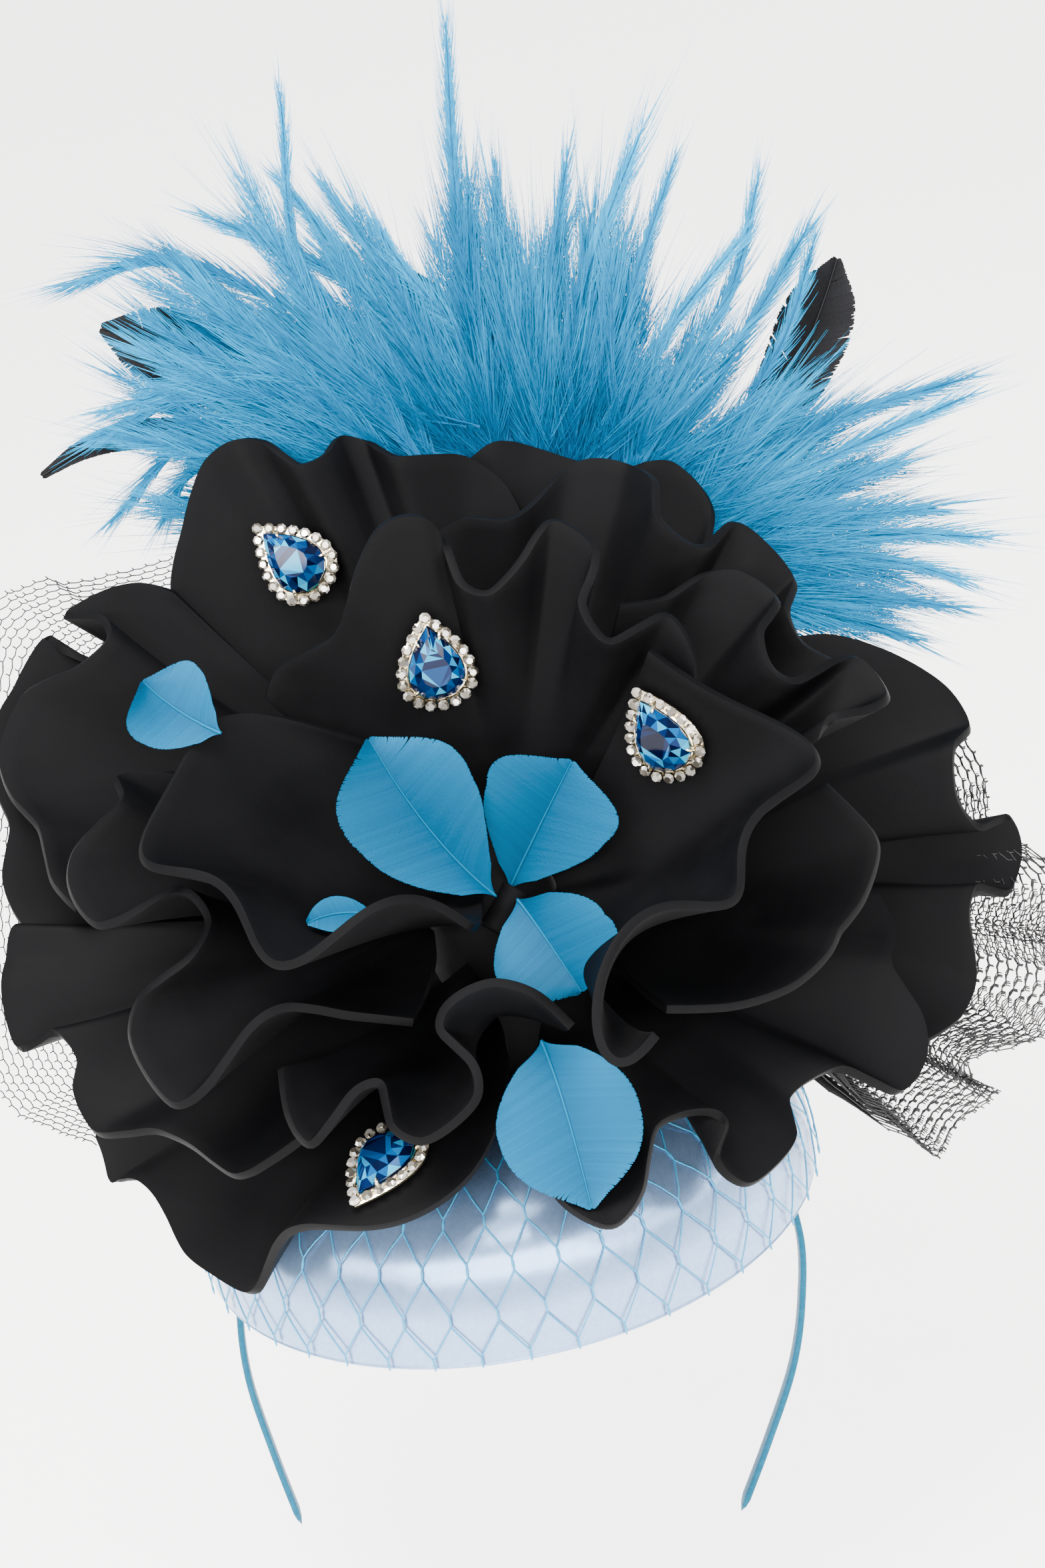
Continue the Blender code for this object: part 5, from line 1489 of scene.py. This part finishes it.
def grain(tree, group, scale, strength):
    """Places the grain in a finish, on the piece's own coordinates."""
    place = tree.nodes.new("ShaderNodeTexCoord")
    node = tree.nodes.new("ShaderNodeGroup")
    node.node_tree = group
    node.inputs["Scale"].default_value = scale
    node.inputs["Strength"].default_value = strength
    tree.links.new(place.outputs["Object"], node.inputs["Vector"])
    return node


def foam_finish(group, name, low, high):
    made, tree, shader = new_finish(name, 0.62, Specular_IOR_Level=0.06)
    fine = grain(tree, group, 2400, 0.16)
    broad = grain(tree, group, 40, 0.0)
    base = ramp(tree, broad.outputs["Value"], ((0.35, low), (0.7, high)))
    specks = ramp(tree, fine.outputs["Value"], ((0.70, (0, 0, 0)), (0.80, (0.006, 0.006, 0.0065))))
    mix = tree.nodes.new("ShaderNodeMix")
    mix.data_type = "RGBA"
    mix.blend_type = "ADD"
    mix.inputs["Factor"].default_value = 1
    tree.links.new(base, mix.inputs["A"])
    tree.links.new(specks, mix.inputs["B"])
    tree.links.new(mix.outputs["Result"], shader.inputs["Base Color"])
    rough = ramp(tree, broad.outputs["Value"], ((0.3, (0.55, 0.55, 0.55)), (0.7, (0.72, 0.72, 0.72))))
    tree.links.new(rough, shader.inputs["Roughness"])
    tree.links.new(fine.outputs["Normal"], shader.inputs["Normal"])
    return made


def satin_finish(group):
    made, tree, shader = new_finish("satin", 0.25, 0.7, Specular_IOR_Level=0.9)
    uv = tree.nodes.new("ShaderNodeUVMap")
    size = add_node(tree, "ShaderNodeMapping", [("Vector", uv.outputs["UV"])], Scale=(480, 112, 1))
    twill_size = [("Vector", size.outputs["Vector"])]
    twill = add_node(tree, "ShaderNodeTexWave", twill_size, Scale=1.1, Distortion=0.4)
    twill.bands_direction = "DIAGONAL"
    wide = add_node(tree, "ShaderNodeMapping", [("Vector", uv.outputs["UV"])], Scale=(34, 2.2, 1))
    pucker = add_node(tree, "ShaderNodeTexNoise", [("Vector", wide.outputs["Vector"])], Scale=1.0, Detail=2.0)
    puckered = [("Height", pucker.outputs["Fac"])]
    soft = add_node(tree, "ShaderNodeBump", puckered, Strength=0.35, Distance=0.0016)
    weave = add_node(
        tree, "ShaderNodeBump", [("Height", twill.outputs["Fac"]), ("Normal", soft.outputs["Normal"])],
        Strength=0.10, Distance=0.0002)
    fine = grain(tree, group, 900, 0.0)
    base = ramp(tree, fine.outputs["Value"], ((0.35, (0.190, 0.300, 0.480)), (0.65, (0.225, 0.345, 0.540))))
    tree.links.new(base, shader.inputs["Base Color"])
    rough = ramp(tree, twill.outputs["Fac"], ((0.0, (0.20, 0.20, 0.20)), (1.0, (0.28, 0.28, 0.28))))
    tree.links.new(rough, shader.inputs["Roughness"])
    tree.links.new(weave.outputs["Normal"], shader.inputs["Normal"])
    return made


def thread_finish(group, name, low, high, roughness, scale):
    """A plain spun thread or cloth, slightly uneven in colour."""
    made, tree, shader = new_finish(name, roughness)
    fine = grain(tree, group, scale, 0.3)
    tree.links.new(ramp(tree, fine.outputs["Value"], ((0.3, low), (0.7, high))), shader.inputs["Base Color"])
    tree.links.new(fine.outputs["Normal"], shader.inputs["Normal"])
    return made


def ribbon_finish(group):
    made, tree, shader = new_finish("ribbon", 0.42, Specular_IOR_Level=0.10)
    uv = tree.nodes.new("ShaderNodeUVMap")
    size = add_node(tree, "ShaderNodeMapping", [("Vector", uv.outputs["UV"])], Scale=(400, 8, 1))
    rib_size = [("Vector", size.outputs["Vector"])]
    ribs = add_node(tree, "ShaderNodeTexWave", rib_size, Scale=0.55, Distortion=0.3)
    bump = add_node(tree, "ShaderNodeBump", [("Height", ribs.outputs["Fac"])], Strength=0.35, Distance=0.0003)
    fine = grain(tree, group, 700, 0.0)
    base = ramp(tree, fine.outputs["Value"], ((0.3, (0.0, 0.070, 0.125)), (0.7, (0.0, 0.095, 0.160))))
    tree.links.new(base, shader.inputs["Base Color"])
    tree.links.new(bump.outputs["Normal"], shader.inputs["Normal"])
    return made


def feather_finish(group, name, stops, roughness):
    """A dyed feather: each barb has its own shade, paler or darker along its length; on the plume the paler
    tips are painted light through the barbs and the darker feet painted shade.
    """
    made, tree, shader = new_finish(name, roughness, Specular_IOR_Level=0.06)
    shade = tree.nodes.new("ShaderNodeAttribute")
    shade.attribute_name = "shade"
    tree.links.new(ramp(tree, shade.outputs["Fac"], stops), shader.inputs["Base Color"])
    fine = grain(tree, group, 1500, 0.25)
    tree.links.new(fine.outputs["Normal"], shader.inputs["Normal"])
    return made


def facet_finish(name, stops, roughness, metallic, **fixed):
    made, tree, shader = new_finish(name, roughness, metallic, **fixed)
    facet = tree.nodes.new("ShaderNodeAttribute")
    facet.attribute_name = "facet"
    tree.links.new(ramp(tree, facet.outputs["Fac"], stops), shader.inputs["Base Color"])
    return made


def gilt_finish(group):
    made, tree, shader = new_finish("gilt", 0.2, 1.0)
    fine = grain(tree, group, 500, 0.05)
    base = ramp(tree, fine.outputs["Value"], ((0.3, (0.78, 0.66, 0.42)), (0.7, (0.88, 0.80, 0.60))))
    tree.links.new(base, shader.inputs["Base Color"])
    tree.links.new(fine.outputs["Normal"], shader.inputs["Normal"])
    return made


def floor_finish(group):
    made, tree, shader = new_finish("pale_floor", 0.9)
    fine = grain(tree, group, 60, 0.05)
    base = ramp(tree, fine.outputs["Value"], ((0.3, (0.80, 0.79, 0.77)), (0.7, (0.83, 0.82, 0.80))))
    tree.links.new(base, shader.inputs["Base Color"])
    shader.inputs["Emission Color"].default_value = (1.0, 0.958, 0.925, 1)
    shader.inputs["Emission Strength"].default_value = 3.4
    return made


def add_camera():
    lens = bpy.data.cameras.new("sight")
    lens.lens = FOCAL_UNITS / (2 * PICTURE_MIDDLE[1]) * lens.sensor_width
    camera = add_object("sight", lens)
    turn = Matrix((ACROSS, UP, TOWARD)).transposed().to_4x4()
    camera.matrix_world = Matrix.Translation(EYE) @ turn
    bpy.context.scene.camera = camera


def add_light(name, place, aim, size, power, colour):
    light = bpy.data.lights.new(name, "AREA")
    light.shape = "RECTANGLE"
    light.size, light.size_y = size
    light.energy = power
    light.color = colour
    lamp = add_object(name, light)
    place, aim = Vector(place), Vector(aim)
    turn = (place - aim).to_track_quat("Z", "Y").to_matrix().to_4x4()
    lamp.matrix_world = Matrix.Translation(place) @ turn


def add_stage(finish):
    clear_selection()
    bpy.ops.mesh.primitive_plane_add(size=40, location=(0, 0, FLOOR_HEIGHT))
    floor = bpy.context.active_object
    floor.name = "floor"
    floor.data.materials.append(finish)
    world = bpy.data.worlds.new("soft_sky")
    world.use_nodes = True
    sky = world.node_tree.nodes["Background"]
    sky.inputs["Color"].default_value = (0.93, 0.95, 1.0, 1)
    sky.inputs["Strength"].default_value = 1.1
    bpy.context.scene.world = world
    for row in LIGHTS:
        add_light(*row)


def main():
    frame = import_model()
    clear_selection()
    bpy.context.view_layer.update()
    add_camera()
    group = grain_group()
    add_stage(floor_finish(group))
    trees, grids, places = place_guides(frame["nodes"])
    foam = foam_finish(group, "foam", (0.0013, 0.0013, 0.0016), (0.0026, 0.0026, 0.0030))
    # Cut rims take a lighter foam: partly the foam's own cut edge, partly a painted highlight along the rims.
    foam_cut = foam_finish(group, "foam_cut", (0.0021, 0.0019, 0.0019), (0.0038, 0.0034, 0.0033))
    satin = satin_finish(group)
    lining = thread_finish(group, "lining", (0.30, 0.34, 0.38), (0.36, 0.40, 0.44), 0.7, 900)
    veiling = thread_finish(group, "veiling", (0.006, 0.19, 0.36), (0.02, 0.26, 0.45), 0.5, 1200)
    tulle = thread_finish(group, "tulle", (0.004, 0.004, 0.005), (0.008, 0.008, 0.009), 0.55, 1500)
    leaf = feather_finish(group, "leaf_vane", LEAF_STOPS, 0.5)
    plume = feather_finish(group, "plume_vane", PLUME_PAINTED_SHADE_TO_GLOW_STOPS, 0.6)
    black = feather_finish(group, "black_vane", BLACK_STOPS, 0.45)
    stone = facet_finish("cut_stone", STONE_BLUE_AND_GLINT_STOPS, 0.04, 0.0, Specular_IOR_Level=0.14)
    crystal = facet_finish("crystal", CRYSTAL_PAINTED_SPARKLE_STOPS, 0.10, 0.6)
    gilt = gilt_finish(group)
    make_cap(satin, lining)
    make_veil(veiling)
    make_band(ribbon_finish(group))
    make_heart(trees, [foam, foam_cut])
    make_petals(grids, [foam, foam_cut])
    low = grids["leaf_feather_low"]
    grids["leaf_feather_low"] = low[0, 1] + (low - low[0, 1]) * LOW_LEAF_SIZE
    for row in LEAVES:
        make_blade(row.name + "_blade", grids[row.name], leaf, "leaf", *LEAF_BARBS)
    for row in BLACK_FEATHERS:
        make_blade(row.name + "_blade", grids[row.name], black, "black_feather", *BLACK_BARBS)
    make_plume(grids["plume"], plume, trees)
    for sheet in NETS:
        for layer in range(NET_LAYERS[sheet.name]):
            make_net(sheet.name, grids[sheet.name], tulle, layer)
    for number, place in enumerate(places, start=1):
        make_setting(number, place, gilt, crystal)
        make_stone(number, place, stone)


main()
